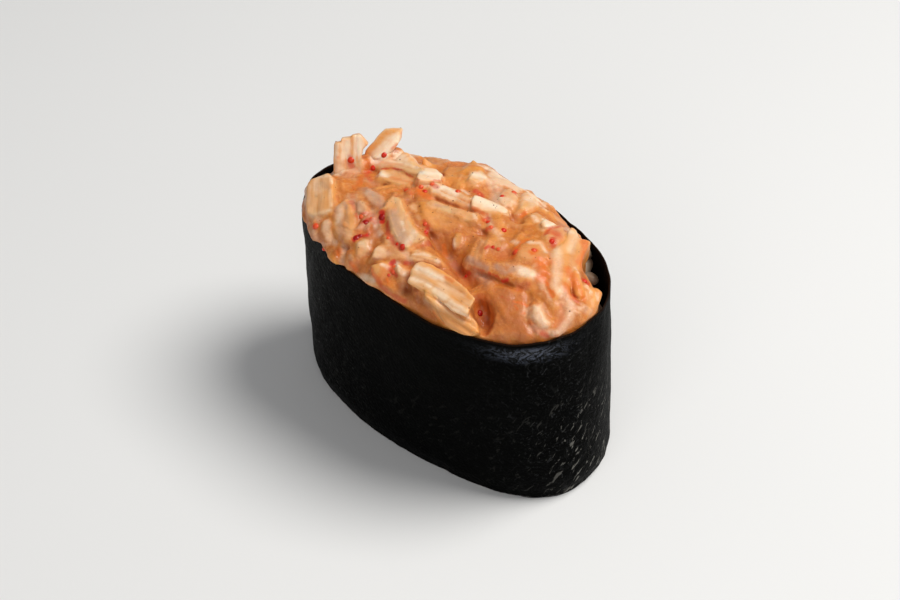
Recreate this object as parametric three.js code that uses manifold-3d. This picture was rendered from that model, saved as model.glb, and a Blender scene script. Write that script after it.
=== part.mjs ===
// Gunkan sushi: a band of dried seaweed stood on edge around a hand-pressed
// block of rice, and filled to a heap with dressed crab-stick salad.
// Millimetres, +Z up, +X along the long side. The flat underside of the rice
// is z = 0. Three pieces: the band, the rice and the heap of salad.
import * as THREE from "three";
import { mergeVertices } from "three/addons/utils/BufferGeometryUtils.js";
import Module from "manifold-3d";

const wasm = await Module();
wasm.setup();

// ---- driving sizes, mm
const RIM_HALF_LENGTH = 27.5;     // outer face of the band at its upper edge
const RIM_HALF_WIDTH = 16.493;
const RIM_SQUARENESS = 2.161;     // exponent of the superellipse, 2 is an ellipse
const FOOT_HALF_LENGTH = 27.885;  // the same at the lower edge
const FOOT_HALF_WIDTH = 15.7;
const FOOT_SQUARENESS = 2.212;
const FOOT_SHIFT = [0.839, 0.695];// the band leans a little from foot to rim
const BEND = -0.088;              // both ends curl towards the front long side
const BAND_HEIGHT = 31.87;        // mean, the strip was cut about 32 mm wide
const RIM_WAVE = [0.16, -0.023, 0.492, 0.437]; // cos t, sin t, cos 2t, sin 2t
const BAND_THICKNESS = 0.5;
const OVERLAP_FROM = 92;          // degrees round the outline, at the back:
const OVERLAP_TO = 116;           // the strip's outer end laps its inner end
const TUCK = 0.55;                // the lower edge turns in under the rice
const CLEAR = 0.36;               // between neighbouring pieces
const RICE_TOP = 25.2;            // mean height of the pressed rice
const RICE_RISE = 2.2;            // higher at the open +X end
const DOME = 5.2;                 // the heap above the rim
const OPEN_SIDE = 4.3;            // the heap stays off the wall here, by this
const CENTRE = [0.539, 0.308];   // middle of the whole outline

// ---- grid density
const STEPS = 72;                 // round the outline
const RICE_RINGS = 5;
const HEAP_RINGS = 9;

const TAU = Math.PI * 2;
const rad = (d) => (d * Math.PI) / 180;
const clamp = (v, a, b) => Math.min(b, Math.max(a, v));
const smooth = (a, b, v) => { const u = clamp((v - a) / (b - a), 0, 1); return u * u * (3 - 2 * u); };
const spow = (v, e) => Math.sign(v) * Math.pow(Math.abs(v) + 1e-9, e);
const wrap = (a) => Math.atan2(Math.sin(a), Math.cos(a));
const bell = (t, deg, width) => Math.exp(-Math.pow(wrap(t - rad(deg)) / rad(width), 2));

// ---- the band's outline, f = 0 at the foot and 1 at the rim
function ring(t, a, b, n) {
  const x = a * spow(Math.cos(t), 2 / n);
  const u = x / a;
  const y = b * spow(Math.sin(t), 2 / n) * (1 + 0.005 * u) + BEND * u * u * b - 0.002 * u * b;
  return [x, y];
}
function outline(t, f) {
  const r = ring(t, RIM_HALF_LENGTH, RIM_HALF_WIDTH, RIM_SQUARENESS);
  const g = ring(t, FOOT_HALF_LENGTH, FOOT_HALF_WIDTH, FOOT_SQUARENESS);
  return [
    g[0] + FOOT_SHIFT[0] + (r[0] - g[0] - FOOT_SHIFT[0]) * f,
    g[1] + FOOT_SHIFT[1] + (r[1] - g[1] - FOOT_SHIFT[1]) * f,
  ];
}
const rimHeight = (t) => BAND_HEIGHT + RIM_WAVE[0] * Math.cos(t) + RIM_WAVE[1] * Math.sin(t)
  + RIM_WAVE[2] * Math.cos(2 * t) + RIM_WAVE[3] * Math.sin(2 * t);

// how far the sheet lies inside its outline: tuck, flare and slack waves
function slack(t, f) {
  const tuck = TUCK * (1 - smooth(0, 0.09, f)) * (0.75 + 0.25 * Math.sin(5 * t + 1.3));
  const flare = -0.28 * smooth(0.9, 1, f) * bell(t, 322, 26);
  const left = 0.55 * bell(t, 207, 15) * smooth(0.3, 1, f);
  const waves = 0.10 * Math.sin(4 * t + 3.1 * f) + 0.07 * Math.sin(9 * t - 4 * f + 0.6);
  return tuck + flare + left + waves;
}
// a point of the wall, d inside its outer face
function wall(t, f, d) {
  const e = 1e-3, p = outline(t, f), q = outline(t + e, f);
  const dx = q[0] - p[0], dy = q[1] - p[1], l = Math.hypot(dx, dy);
  const s = d + slack(t, f);
  return [p[0] - (dy / l) * s, p[1] + (dx / l) * s];
}

// angles round the outline, with a pair at each end of the strip
const lapStart = rad(OVERLAP_FROM), lapEnd = rad(OVERLAP_TO), EDGE = 0.004;
const angles = [];
for (let i = 0; i < STEPS; i++) angles.push((i / STEPS) * TAU);
const bandAngles = angles.filter((t) => Math.abs(t - lapStart) > 0.03 && Math.abs(t - lapEnd) > 0.03)
  .concat([lapStart - EDGE, lapStart + EDGE, lapEnd - EDGE, lapEnd + EDGE]).sort((a, b) => a - b);

// ---- faceted solid from rings of equal length, closed at both ends or into a loop
function solidFromRings(rings, { loop = false } = {}) {
  const n = rings[0].length, pos = [], idx = [];
  for (const r of rings) for (const p of r) pos.push(p[0], p[1], p[2]);
  const quad = (a, b, c, d) => idx.push(a, b, c, a, c, d);
  const count = rings.length, last = loop ? count : count - 1;
  for (let k = 0; k < last; k++) {
    const k2 = (k + 1) % count;
    for (let i = 0; i < n; i++) {
      const j = (i + 1) % n;
      quad(k * n + i, k * n + j, k2 * n + j, k2 * n + i);
    }
  }
  if (!loop) {
    for (const [k, flip] of [[0, true], [count - 1, false]]) {
      const c = pos.length / 3, m = [0, 0, 0];
      for (const p of rings[k]) { m[0] += p[0] / n; m[1] += p[1] / n; m[2] += p[2] / n; }
      pos.push(...m);
      for (let i = 0; i < n; i++) {
        const j = (i + 1) % n;
        if (flip) idx.push(c, k * n + j, k * n + i);
        else idx.push(c, k * n + i, k * n + j);
      }
    }
  }
  const g = new THREE.BufferGeometry();
  g.setAttribute("position", new THREE.Float32BufferAttribute(pos, 3));
  g.setIndex(idx);
  return g;
}

// ---- 1. the band: one strip, wound once round and lapped over its own end
const lift = (t) => smooth(lapStart - 0.42, lapStart, t) * (t <= lapEnd ? 1 : 0); // outer turn rides out
const outerFace = (t) => -BAND_THICKNESS * lift(t);
const innerFace = (t) => BAND_THICKNESS - (t < lapStart ? BAND_THICKNESS * lift(t) : 0);
const levels = [0, 0.03, 0.09, 0.34, 0.66, 0.93, 1];
const footZ = (t) => 0.14 + 0.14 * Math.sin(6 * t + 0.8);
const topZ = (t) => rimHeight(t) + 0.09 * Math.sin(11 * t) + 0.06 * Math.sin(23 * t + 1) ;
const levelZ = (t, f) => footZ(t) + (topZ(t) - footZ(t)) * f;
const bandRings = [];
for (const f of levels) bandRings.push(bandAngles.map((t) => [...wall(t, f, outerFace(t)), levelZ(t, f)]));
for (const f of [...levels].reverse()) bandRings.push(bandAngles.map((t) => [...wall(t, f, innerFace(t)), levelZ(t, f)]));
const noriGeometry = solidFromRings(bandRings, { loop: true });

// ---- 2. the rice: pressed block with a flat foot and an uneven top
const inside = BAND_THICKNESS + CLEAR;
function grainRelief(x, y) {
  return 0.35 * Math.sin(1.15 * x + 0.8) * Math.cos(1.3 * y - 0.4) + 0.22 * Math.sin(2.1 * x - 1.7 * y)
    + 0.18 * Math.cos(1.9 * x + 2.3 * y + 1);
}
function riceTop(x, y) {
  const u = x / RIM_HALF_LENGTH, v = y / RIM_HALF_WIDTH;
  return RICE_TOP - 1.2 * Math.pow(u * u + v * v, 1.2) + RICE_RISE * smooth(0.35, 0.9, u) + grainRelief(x, y);
}
// the same grid serves the rice's top and the heap's underside
function riceGrid(raise) {
  const out = [];
  for (let k = RICE_RINGS; k >= 1; k--) {
    const r = Math.pow(k / RICE_RINGS, 0.9);
    out.push(angles.map((t) => {
      const e = wall(t, 0.8, inside + 0.02);
      const x = e[0] * r, y = e[1] * r;
      return [x, y, riceTop(x, y) + raise];
    }));
  }
  return out;
}
const riceRings = [];
riceRings.push(angles.map((t) => { const e = wall(t, 0.0, inside + 0.5); return [e[0], e[1], 0]; }));
riceRings.push(angles.map((t) => { const e = wall(t, 0.03, inside + 0.02); return [e[0], e[1], 1.0]; }));
riceRings.push(angles.map((t) => { const e = wall(t, 0.09, inside + 0.02); return [e[0], e[1], 2.9]; }));
riceRings.push(angles.map((t) => { const e = wall(t, 0.45, inside + 0.02); return [e[0], e[1], 14.2]; }));
riceRings.push(...riceGrid(0));
const riceGeometry = solidFromRings(riceRings);

// ---- 3. the heap of salad
const pull = (t) => OPEN_SIDE * Math.pow(bell(t, 33, 15), 1.0) + 1.1 * bell(t, 172, 12) + 0.8 * bell(t, 132, 7) + 0.7 * bell(t, 66, 12);
const hang = (t) => 1.55 * bell(t, 232, 26);
const edgeHeight = (t) => 0.15 - 1.6 * bell(t, 178, 13) - 1.5 * bell(t, 62, 16) - 0.6 * bell(t, 85, 10)
  + 0.5 * bell(t, 222, 30) + 0.35 * bell(t, 262, 30) - 0.5 * bell(t, 325, 30) + 1.2 * bell(t, 106, 9) - 1.1 * bell(t, 137, 13);
const blob = (x, y, cx, cy, sx, sy, a = 0) => {
  const c = Math.cos(a), s = Math.sin(a), u = (x - cx) * c + (y - cy) * s, v = -(x - cx) * s + (y - cy) * c;
  return Math.exp(-(u / sx) * (u / sx) - (v / sy) * (v / sy));
};
function heapRelief(x, y) {
  return 0.8 * blob(x, y, -19.5, -3.5, 6.5, 6.5)      // full left end
    + 0.9 * blob(x, y, 8.5, 9.5, 7, 3.4, -0.25)       // ridge along the back
    + 0.7 * blob(x, y, 16.5, -2, 6, 6)                // right-hand lobe
    - 0.9 * blob(x, y, 2, -1.5, 9, 2.6, -0.62)        // valley across the middle
    - 3.2 * blob(x, y, 16.0, -11.4, 1.9, 1.5)         // deep hollow by the front wall
    + 0.25 * Math.sin(0.95 * x + 0.7) * Math.sin(1.1 * y + 0.3) + 0.2 * Math.sin(1.7 * x - 1.3 * y);
}
// where the heap stays off the wall its side comes in with it
const heapSide = (t, f, out = 0) => wall(t, f, inside + pull(t) - out);
const heapRings = [angles.map((t) => [...heapSide(t, 0.8), RICE_TOP - 5])];
const edgeZ = (t) => topZ(t) + Math.max(edgeHeight(t), hang(t) > 0.05 ? 0.4 : -9);
heapRings.push(angles.map((t) => [...heapSide(t, 0.9), 28.9]));
heapRings.push(angles.map((t) => [...heapSide(t, 1), edgeZ(t)]));
heapRings.push(angles.map((t) => [...heapSide(t, 1, hang(t) > 0.05 ? hang(t) : -0.15), edgeZ(t) + 0.25]));
for (let k = HEAP_RINGS - 1; k >= 1; k--) {
  const r = k / HEAP_RINGS;
  heapRings.push(angles.map((t) => {
    const e = heapSide(t, 1, hang(t) > 0.05 ? hang(t) : -0.15);
    const x = e[0] * r, y = e[1] * r;
    const base = BAND_HEIGHT + (edgeZ(t) + 0.25 - BAND_HEIGHT) * Math.pow(r, 1.6);
    return [x, y, base + DOME * Math.pow(1 - Math.pow(r, 2.5), 0.72) + heapRelief(x, y) * (1 - Math.pow(r, 8))];
  }));
}

// the shreds and cut blocks of crab stick that stand out of the heap:
// x, y, z of the middle, yaw, pitch, roll in degrees, length, width, thickness, ridges
const SHREDS = [
  [-18.9, -9.4, 34.6, -50, -21, 29, 7.7, 5.0, 3.0, 3],   // against the left wall
  [-13.3, -10.2, 35.2, -44, -21, 29, 8.7, 3.4, 2.6, 2],
  [-3.7, -7.0, 36.8, -25, -8, 14, 9.8, 2.7, 2.4, 0],     // smooth slab
  [-14.9, 2.6, 36.2, 13, 7, 9, 10.2, 1.9, 2.0, 0],
  [-9.4, 3.9, 36.5, 34, -11, -11, 3.6, 2.6, 2.2, 0],
  [-12.8, 0.4, 36.0, 30, 1, -1, 6.1, 2.8, 2.2, 0],
  [-1.2, -2.6, 36.2, 33, -19, 18, 6.4, 3.9, 2.8, 0],
  [-3.4, 2.5, 36.7, 18, -7, 5, 6.0, 2.1, 2.0, 0],
  [0.1, -1.6, 37.8, 22, -7, 5, 8.6, 1.9, 2.0, 0],
  [-3.0, -12.7, 34.4, 14, 2, 28, 3.3, 2.2, 2.6, 0],
  [-11.5, -14.2, 31.8, -7, 25, 57, 4.4, 2.6, 2.6, 0],
  [-0.9, -14.4, 33.1, -6, -9, 39, 3.7, 2.7, 2.8, 0],
  [8.9, -12.0, 34.0, 6, -4, 33, 10.4, 3.4, 4.2, 3],      // the big chunk in front
  [13.2, -13.5, 31.9, 6, -10, 31, 6.8, 2.2, 3.0, 2],
  [13.2, -4.7, 35.8, 16, 5, 19, 10.9, 2.6, 2.4, 0],
  [18.6, 0.9, 35.8, -48, -12, -14, 10.5, 2.3, 2.6, 2],
  [16.4, 7.5, 35.2, 88, -30, 19, 5.8, 4.2, 3.0, 0],
  [25.2, 0.6, 33.1, -16, -36, -10, 3.7, 2.9, 2.6, 3],
  [15.0, 0.2, 36.9, 38, -4, 5, 5.0, 4.2, 2.8, 0],
  [1.9, 5.2, 35.7, 30, -9, -1, 5.8, 3.7, 2.6, 0],
  [22.8, -6.4, 33.2, -32, -31, 7, 3.1, 2.9, 3.0, 0],
  [-20.8, -1.5, 37.8, 133, 70, 0, 7.4, 5.2, 2.8, 3],     // the upright ridged shred
  [-18.1, 3.7, 37.2, 44, 60, 0, 9.4, 3.2, 2.2, 0],       // the blade that leans
  [-15.6, 6.4, 35.2, 43, 10, 0, 4.2, 3.0, 2.6, 0],
  [-6.5, 9.0, 34.6, 160, -6, -22, 7.0, 3.0, 2.4, 0],     // on the far slope
  [6.0, 11.6, 33.6, 12, 2, -30, 6.6, 2.6, 2.4, 0],
  [11.0, 8.4, 35.6, -28, -4, -14, 5.6, 2.8, 2.4, 0],
  [-11.5, 7.6, 34.9, 96, -20, -8, 4.6, 3.0, 2.2, 0],
];
// cross-section of a shred: chamfered, with lengthwise ridges on its upper face
function shredSection(w, t, ridges) {
  const s = new THREE.Shape(), c = Math.min(w, t) * 0.22, top = t / 2;
  s.moveTo(-w / 2 + c, -t / 2); s.lineTo(w / 2 - c, -t / 2); s.lineTo(w / 2, -t / 2 + c);
  if (ridges < 2) { s.lineTo(w / 2, top - c); s.lineTo(w / 2 - c, top); s.lineTo(-w / 2 + c, top); s.lineTo(-w / 2, top - c); }
  else {
    for (let i = 0; i < ridges; i++) {
      const a = w / 2 - (i * w) / ridges, b = a - w / ridges, m = (a - b) * 0.25;
      s.lineTo(a - (i ? 0 : 0), top - 0.45); s.lineTo(a - m, top); s.lineTo(b + m, top);
    }
    s.lineTo(-w / 2, top - 0.45);
  }
  s.lineTo(-w / 2, -t / 2 + c); s.closePath();
  return s;
}
function shredGeometry([x, y, z, yaw, pitch, roll, l, w, t, ridges], i) {
  const g = new THREE.ExtrudeGeometry(shredSection(w, t, ridges), { depth: l, steps: 1, bevelEnabled: false });
  g.translate(0, 0, -l / 2);
  // cut ends are slanting, and one end is a little narrower
  const p = g.attributes.position;
  for (let k = 0; k < p.count; k++) {
    const end = Math.sign(p.getZ(k)), px = p.getX(k), py = p.getY(k);
    p.setXYZ(k, px * (end > 0 ? 0.88 : 1), py, p.getZ(k) + px * 0.22 * Math.sin(i * 2.1 + end) + py * 0.25 * end);
  }
  // section width along e2, thickness along e3, length along e1
  const cy = Math.cos(rad(yaw)), sy = Math.sin(rad(yaw)), cp = Math.cos(rad(pitch)), sp = Math.sin(rad(pitch));
  const e1 = new THREE.Vector3(cy * cp, sy * cp, sp);
  const f2 = new THREE.Vector3(-sy, cy, 0), f3 = new THREE.Vector3().crossVectors(e1, f2);
  const cr = Math.cos(rad(roll)), sr = Math.sin(rad(roll));
  const e2 = f2.clone().multiplyScalar(cr).addScaledVector(f3, sr);
  const e3 = new THREE.Vector3().crossVectors(e1, e2);
  g.applyMatrix4(new THREE.Matrix4().makeBasis(e2, e3, e1).setPosition(x, y, z));
  return g;
}

function toManifold(geometry) {
  let g = geometry.clone();
  g.deleteAttribute("normal"); g.deleteAttribute("uv");
  g = mergeVertices(g, 1e-5);
  return new wasm.Manifold(new wasm.Mesh({
    numProp: 3,
    vertProperties: new Float32Array(g.attributes.position.array),
    triVerts: new Uint32Array(g.index.array),
  }));
}
// the outer shell of a solid, without pockets closed in between crossing shreds
function fromManifold(m) {
  const mesh = m.getMesh(), tri = mesh.triVerts, parent = Array.from({ length: mesh.vertProperties.length / 3 }, (_, i) => i);
  const find = (i) => { while (parent[i] !== i) { parent[i] = parent[parent[i]]; i = parent[i]; } return i; };
  for (let k = 0; k < tri.length; k += 3) {
    parent[find(tri[k + 1])] = find(tri[k]);
    parent[find(tri[k + 2])] = find(tri[k]);
  }
  const size = new Map();
  for (let k = 0; k < tri.length; k += 3) size.set(find(tri[k]), (size.get(find(tri[k])) || 0) + 1);
  const outer = [...size].sort((a, b) => b[1] - a[1])[0][0], keep = [];
  for (let k = 0; k < tri.length; k += 3) if (find(tri[k]) === outer) keep.push(tri[k], tri[k + 1], tri[k + 2]);
  const index = new Map(), pos = [], idx = [];
  for (const v of keep) {
    if (!index.has(v)) { index.set(v, pos.length / 3); pos.push(...mesh.vertProperties.slice(v * 3, v * 3 + 3)); }
    idx.push(index.get(v));
  }
  const g = new THREE.BufferGeometry();
  g.setAttribute("position", new THREE.Float32BufferAttribute(pos, 3));
  g.setIndex(idx);
  return g;
}

let heap = toManifold(solidFromRings(heapRings));
SHREDS.forEach((row, i) => { heap = heap.add(toManifold(shredGeometry(row, i))); });
// nothing of the heap reaches into the band or through the rice
const keepOut = solidFromRings([
  ...levels.filter((f) => f >= 0.6 && f < 1).map((f) => angles.map((t) => [...wall(t, f, -4), levelZ(t, f)])),
  angles.map((t) => [...wall(t, 1, -4), topZ(t) + CLEAR]),
  angles.map((t) => [...wall(t, 1, inside), topZ(t) + CLEAR]),
  ...levels.filter((f) => f >= 0.6 && f < 1).reverse().map((f) => angles.map((t) => [...wall(t, f, inside), levelZ(t, f)])),
], { loop: true });
heap = heap.subtract(toManifold(keepOut));
// its underside follows the top of the rice
const bedGrid = riceGrid(CLEAR);
const bed = solidFromRings([
  angles.map((t) => [...wall(t, 0.8, -4), RICE_TOP - 9]),
  angles.map((t, i) => [...wall(t, 0.8, -4), bedGrid[0][i][2]]),
  ...bedGrid,
]);
heap = heap.subtract(toManifold(bed));
const saladGeometry = fromManifold(heap);

// ---- scene graph
const part = new THREE.Group();
const body = new THREE.Group();
body.position.set(-CENTRE[0], -CENTRE[1], 0);
part.add(body);
function add(name, geometry, color, roughness) {
  geometry.computeVertexNormals();
  const mesh = new THREE.Mesh(geometry, new THREE.MeshStandardMaterial({ color, roughness, metalness: 0, flatShading: true }));
  mesh.name = name;
  body.add(mesh);
}
add("nori", noriGeometry, 0x10120f, 0.6);
add("rice", riceGeometry, 0xe9e2d2, 0.55);
add("salad", saladGeometry, 0xdf9a63, 0.3);

export default part;
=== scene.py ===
import bpy
import math
import numpy as np
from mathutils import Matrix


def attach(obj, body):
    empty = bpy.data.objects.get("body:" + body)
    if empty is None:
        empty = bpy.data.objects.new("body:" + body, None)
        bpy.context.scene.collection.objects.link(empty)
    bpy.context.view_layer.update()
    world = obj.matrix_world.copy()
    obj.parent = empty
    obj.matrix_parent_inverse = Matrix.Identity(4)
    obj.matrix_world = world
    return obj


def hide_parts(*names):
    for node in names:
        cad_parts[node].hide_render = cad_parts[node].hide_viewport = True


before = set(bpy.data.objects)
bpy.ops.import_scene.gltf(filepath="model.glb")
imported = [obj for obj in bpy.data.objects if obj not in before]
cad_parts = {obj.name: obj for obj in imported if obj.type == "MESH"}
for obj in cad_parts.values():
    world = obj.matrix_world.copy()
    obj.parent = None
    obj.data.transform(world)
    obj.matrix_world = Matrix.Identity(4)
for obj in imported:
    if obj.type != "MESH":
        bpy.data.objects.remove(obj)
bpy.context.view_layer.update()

# =====================================================================
# Everything below is worked out in millimetres in the frame of the oval,
# whose middle lies CENTRE away from the row's origin, and is turned into
# metres in the row's frame where a mesh is made.
# =====================================================================
CENTRE = np.array([0.539, 0.308, 0.0])
RIM = (27.5, 16.493, 2.161)            # half length, half width, squareness
FOOT = (27.885, 15.7, 2.212)
FOOT_SHIFT = (0.839, 0.695)
BEND = -0.088
BAND_HEIGHT = 31.87
RIM_WAVE = (0.16, -0.023, 0.492, 0.437)
SHEET = 0.34                           # thickness of the seaweed
TUCK = 0.55
CLEAR = 0.12
RICE_TOP, RICE_RISE = 25.2, 2.2
DOME = 5.2
OPEN_SIDE = 4.3

TAU = 2 * math.pi


def smooth(a, b, v):
    u = np.clip((v - a) / (b - a), 0, 1)
    return u * u * (3 - 2 * u)


def spow(v, e):
    return np.sign(v) * (np.abs(v) + 1e-9) ** e


def bell(t, deg, width):
    d = (t - math.radians(deg) + math.pi) % TAU - math.pi
    return np.exp(-(d / math.radians(width)) ** 2)


def ring(t, a, b, n):
    x = a * spow(np.cos(t), 2 / n)
    u = x / a
    y = b * spow(np.sin(t), 2 / n) * (1 + 0.005 * u) + BEND * u * u * b - 0.002 * u * b
    return x, y


def outline(t, f):
    rx, ry = ring(t, *RIM)
    gx, gy = ring(t, *FOOT)
    gx, gy = gx + FOOT_SHIFT[0], gy + FOOT_SHIFT[1]
    return gx + (rx - gx) * f, gy + (ry - gy) * f


def rim_height(t):
    return BAND_HEIGHT + RIM_WAVE[0] * np.cos(t) + RIM_WAVE[1] * np.sin(t) + RIM_WAVE[2] * np.cos(2 * t) + RIM_WAVE[3] * np.sin(2 * t) - 1.3 * bell(t, 204, 9)


def slack(t, f):
    tuck = TUCK * (1 - smooth(0, 0.09, f)) * (0.75 + 0.25 * np.sin(5 * t + 1.3))
    flare = -0.28 * smooth(0.9, 1, f) * bell(t, 322, 26)
    left = 0.55 * bell(t, 207, 15) * smooth(0.3, 1, f)
    return tuck + flare + left + 0.10 * np.sin(4 * t + 3.1 * f) + 0.07 * np.sin(9 * t - 4 * f + 0.6)


def wall(t, f, d):
    e = 1e-3
    px, py = outline(t, f)
    qx, qy = outline(t + e, f)
    dx, dy = qx - px, qy - py
    l = np.hypot(dx, dy)
    s = d + slack(t, f)
    return px - dy / l * s, py + dx / l * s


def inverse(x, y):
    """angle and fraction of the way out, on the rim's outline"""
    a, b, n = RIM
    u = x / a
    yy = (y - BEND * u * u * b + 0.002 * u * b) / (1 + 0.005 * u)
    ax, ay = np.abs(u), np.abs(yy / b)
    rho = (ax ** n + ay ** n + 1e-12) ** (1 / n)
    t = np.arctan2(np.sign(yy) * ay ** (n / 2), np.sign(x) * ax ** (n / 2))
    return t, rho


# ---- value noise, seeded
_lat = {}


def noise(p, scale, seed):
    """smooth noise from -1 to 1 at points p (..., 2 or 3), features of about scale mm"""
    p = np.asarray(p, np.float32)
    dim = p.shape[-1]
    key = (seed, dim)
    n = 64 if dim == 3 else 256
    if key not in _lat:
        _lat[key] = (np.random.RandomState(1000 + seed).rand(*([n] * dim)).astype(np.float32) * 2 - 1)
    lat = _lat[key]
    q = p / scale + 17.3 * (seed + 1)
    i = np.floor(q).astype(np.int32)
    f = (q - i).astype(np.float32)
    f = f * f * (3 - 2 * f)
    i %= n
    j = (i + 1) % n
    if dim == 2:
        a = lat[i[..., 0], i[..., 1]] * (1 - f[..., 0]) + lat[j[..., 0], i[..., 1]] * f[..., 0]
        b = lat[i[..., 0], j[..., 1]] * (1 - f[..., 0]) + lat[j[..., 0], j[..., 1]] * f[..., 0]
        return a * (1 - f[..., 1]) + b * f[..., 1]
    out = 0
    for cx, ix in ((0, i[..., 0]), (1, j[..., 0])):
        wx = f[..., 0] if cx else 1 - f[..., 0]
        for cy, iy in ((0, i[..., 1]), (1, j[..., 1])):
            wy = f[..., 1] if cy else 1 - f[..., 1]
            for cz, iz in ((0, i[..., 2]), (1, j[..., 2])):
                wz = f[..., 2] if cz else 1 - f[..., 2]
                out = out + lat[ix, iy, iz] * wx * wy * wz
    return out


# =====================================================================
# the camera, as fitted to the photograph: 900 x 600, 2400 px focal length
# =====================================================================
CAM = np.array([193.234, -208.956, 258.633])
AIM = np.array([-17.137, 16.938, 0.0])
FOCAL, CX, CY = 2400.0, 450.0, 300.0
_f = (AIM - CAM) / np.linalg.norm(AIM - CAM)
_r = np.cross(_f, [0, 0, 1.0]); _r /= np.linalg.norm(_r)
_u = np.cross(_r, _f)


def project(p):
    d = np.atleast_2d(p) - CAM
    z = d @ _f
    return np.stack([CX + FOCAL * (d @ _r) / z, CY - FOCAL * (d @ _u) / z], 1)


def ray(px, py):
    d = _f + _r * ((px - CX) / FOCAL) + _u * ((CY - py) / FOCAL)
    return d / np.linalg.norm(d)


# =====================================================================
# the mound of dressed salad: height above (x, y)
# =====================================================================
def gauss(x, y, cx, cy, sx, sy, a=0.0):
    c, s = math.cos(a), math.sin(a)
    u, v = (x - cx) * c + (y - cy) * s, -(x - cx) * s + (y - cy) * c
    return np.exp(-(u / sx) ** 2 - (v / sy) ** 2)


def pull(t):
    return OPEN_SIDE * bell(t, 33, 15) + 2.1 * bell(t, 174, 14) + 0.8 * bell(t, 207, 13) + 0.8 * bell(t, 132, 7) + 0.7 * bell(t, 66, 12) + 0.8 * bell(t, 55, 14)


def hang(t):
    return 0.55 * bell(t, 228, 17) + 0.5 * bell(t, 200, 9)


def edge_height(t):
    return (0.15 - 2.2 * bell(t, 176, 13) - 1.5 * bell(t, 62, 16) - 0.6 * bell(t, 85, 10) + 0.5 * bell(t, 222, 30)
            + 0.35 * bell(t, 262, 30) - 0.5 * bell(t, 325, 30) + 1.2 * bell(t, 106, 9) - 1.1 * bell(t, 137, 13) - 1.2 * bell(t, 194, 12) + 1.3 * bell(t, 204, 9))


def mound(x, y):
    t, rho = inverse(x, y)
    r = np.clip(rho, 0, 1)
    h = 32.0 + (rim_height(t) + edge_height(t) - 32.0) * r ** 1.6 + DOME * (1 - r ** 2.5) ** 0.72
    h = h + 0.8 * gauss(x, y, -19.5, -3.5, 6.5, 6.5)
    h = h + 0.9 * gauss(x, y, 8.5, 9.5, 7, 3.4, -0.25)
    h = h + 0.7 * gauss(x, y, 16.5, -2.0, 6, 6)
    h = h - 0.5 * gauss(x, y, 2.0, -1.5, 9, 2.6, -0.62) - 1.5 * gauss(x, y, 7.5, -7.4, 7.0, 1.9, -0.354)
    return h


def cast(px, py, dz=0.0):
    """the point of the mound, raised by dz, that a pixel of the photograph sees"""
    d = ray(px, py)
    ts = np.linspace((60 - CAM[2]) / d[2], (10 - CAM[2]) / d[2], 1200)
    p = CAM + d * ts[:, None]
    _, rho = inverse(p[:, 0], p[:, 1])
    below = (p[:, 2] < mound(p[:, 0], p[:, 1]) + dz) & (rho < 1.0)
    if not below.any():
        return CAM + d * ((32.0 + dz - CAM[2]) / d[2])
    i = int(np.argmax(below))
    a, b = ts[max(i - 1, 0)], ts[i]
    for _ in range(25):
        m = (a + b) / 2
        q = CAM + d * m
        if q[2] < float(mound(q[0], q[1])) + dz:
            b = m
        else:
            a = m
    return CAM + d * b


# =====================================================================
# pieces of crab stick: shapes given as distance functions in their own frame
# =====================================================================
def basis(yaw, pitch, roll):
    yaw, pitch, roll = map(math.radians, (yaw, pitch, roll))
    e1 = np.array([math.cos(yaw) * math.cos(pitch), math.sin(yaw) * math.cos(pitch), math.sin(pitch)])
    f2 = np.array([-math.sin(yaw), math.cos(yaw), 0.0])
    f3 = np.cross(e1, f2)
    e2 = f2 * math.cos(roll) + f3 * math.sin(roll)
    return np.array([e1, e2, np.cross(e1, e2)])


_polar = None


def keep_inside(v, gap=0.06, over=1.5):
    """moves points that lie below the rim and beyond the band's inner face back inside it"""
    global _polar
    levels = np.linspace(0, 1, 17)
    angles = np.linspace(-math.pi, math.pi, 721)
    if _polar is None:
        t = np.linspace(0, TAU, 2000)
        tab = []
        for f in levels:
            x, y = wall(t, f, SHEET + 0.03 * (f > 0.5))
            a = np.arctan2(y, x)
            i = np.argsort(a)
            tab.append(np.interp(angles, a[i], np.hypot(x, y)[i], period=TAU))
        _polar = np.array(tab)
    v = v.copy()
    a, r = np.arctan2(v[:, 1], v[:, 0]), np.hypot(v[:, 0], v[:, 1])
    t, _ = inverse(v[:, 0], v[:, 1])
    f = np.clip(v[:, 2] / rim_height(t), 0, 1) * 16
    i = np.minimum(f.astype(int), 15)
    k = (a + math.pi) / TAU * 720
    j = np.minimum(k.astype(int), 719)
    fr, kr = f - i, k - j
    lim = ((_polar[i, j] * (1 - kr) + _polar[i, j + 1] * kr) * (1 - fr) + (_polar[i + 1, j] * (1 - kr) + _polar[i + 1, j + 1] * kr) * fr) - gap
    s = np.where(r > lim, lim / np.maximum(r, 1e-6), 1.0)
    above = smooth(0.0, over, v[:, 2] - rim_height(t))
    s = s * (1 - above) + above
    v[:, :2] *= s[:, None]
    return v


PIECES = []


def poly_distance(u, v, pts):
    """signed distance to a closed polygon, negative inside"""
    pts = np.asarray(pts, float)
    best = np.full(u.shape, 1e9)
    inside = np.zeros(u.shape, bool)
    for (x0, y0), (x1, y1) in zip(pts, np.roll(pts, -1, 0)):
        ex, ey = x1 - x0, y1 - y0
        s = np.clip(((u - x0) * ex + (v - y0) * ey) / (ex * ex + ey * ey + 1e-12), 0, 1)
        best = np.minimum(best, (u - x0 - s * ex) ** 2 + (v - y0 - s * ey) ** 2)
        if y0 != y1:
            cross = (y0 > v) != (y1 > v)
            inside ^= cross & (u < ex * (v - y0) / ey + x0)
    d = np.sqrt(best)
    return np.where(inside, -d, d)


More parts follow.
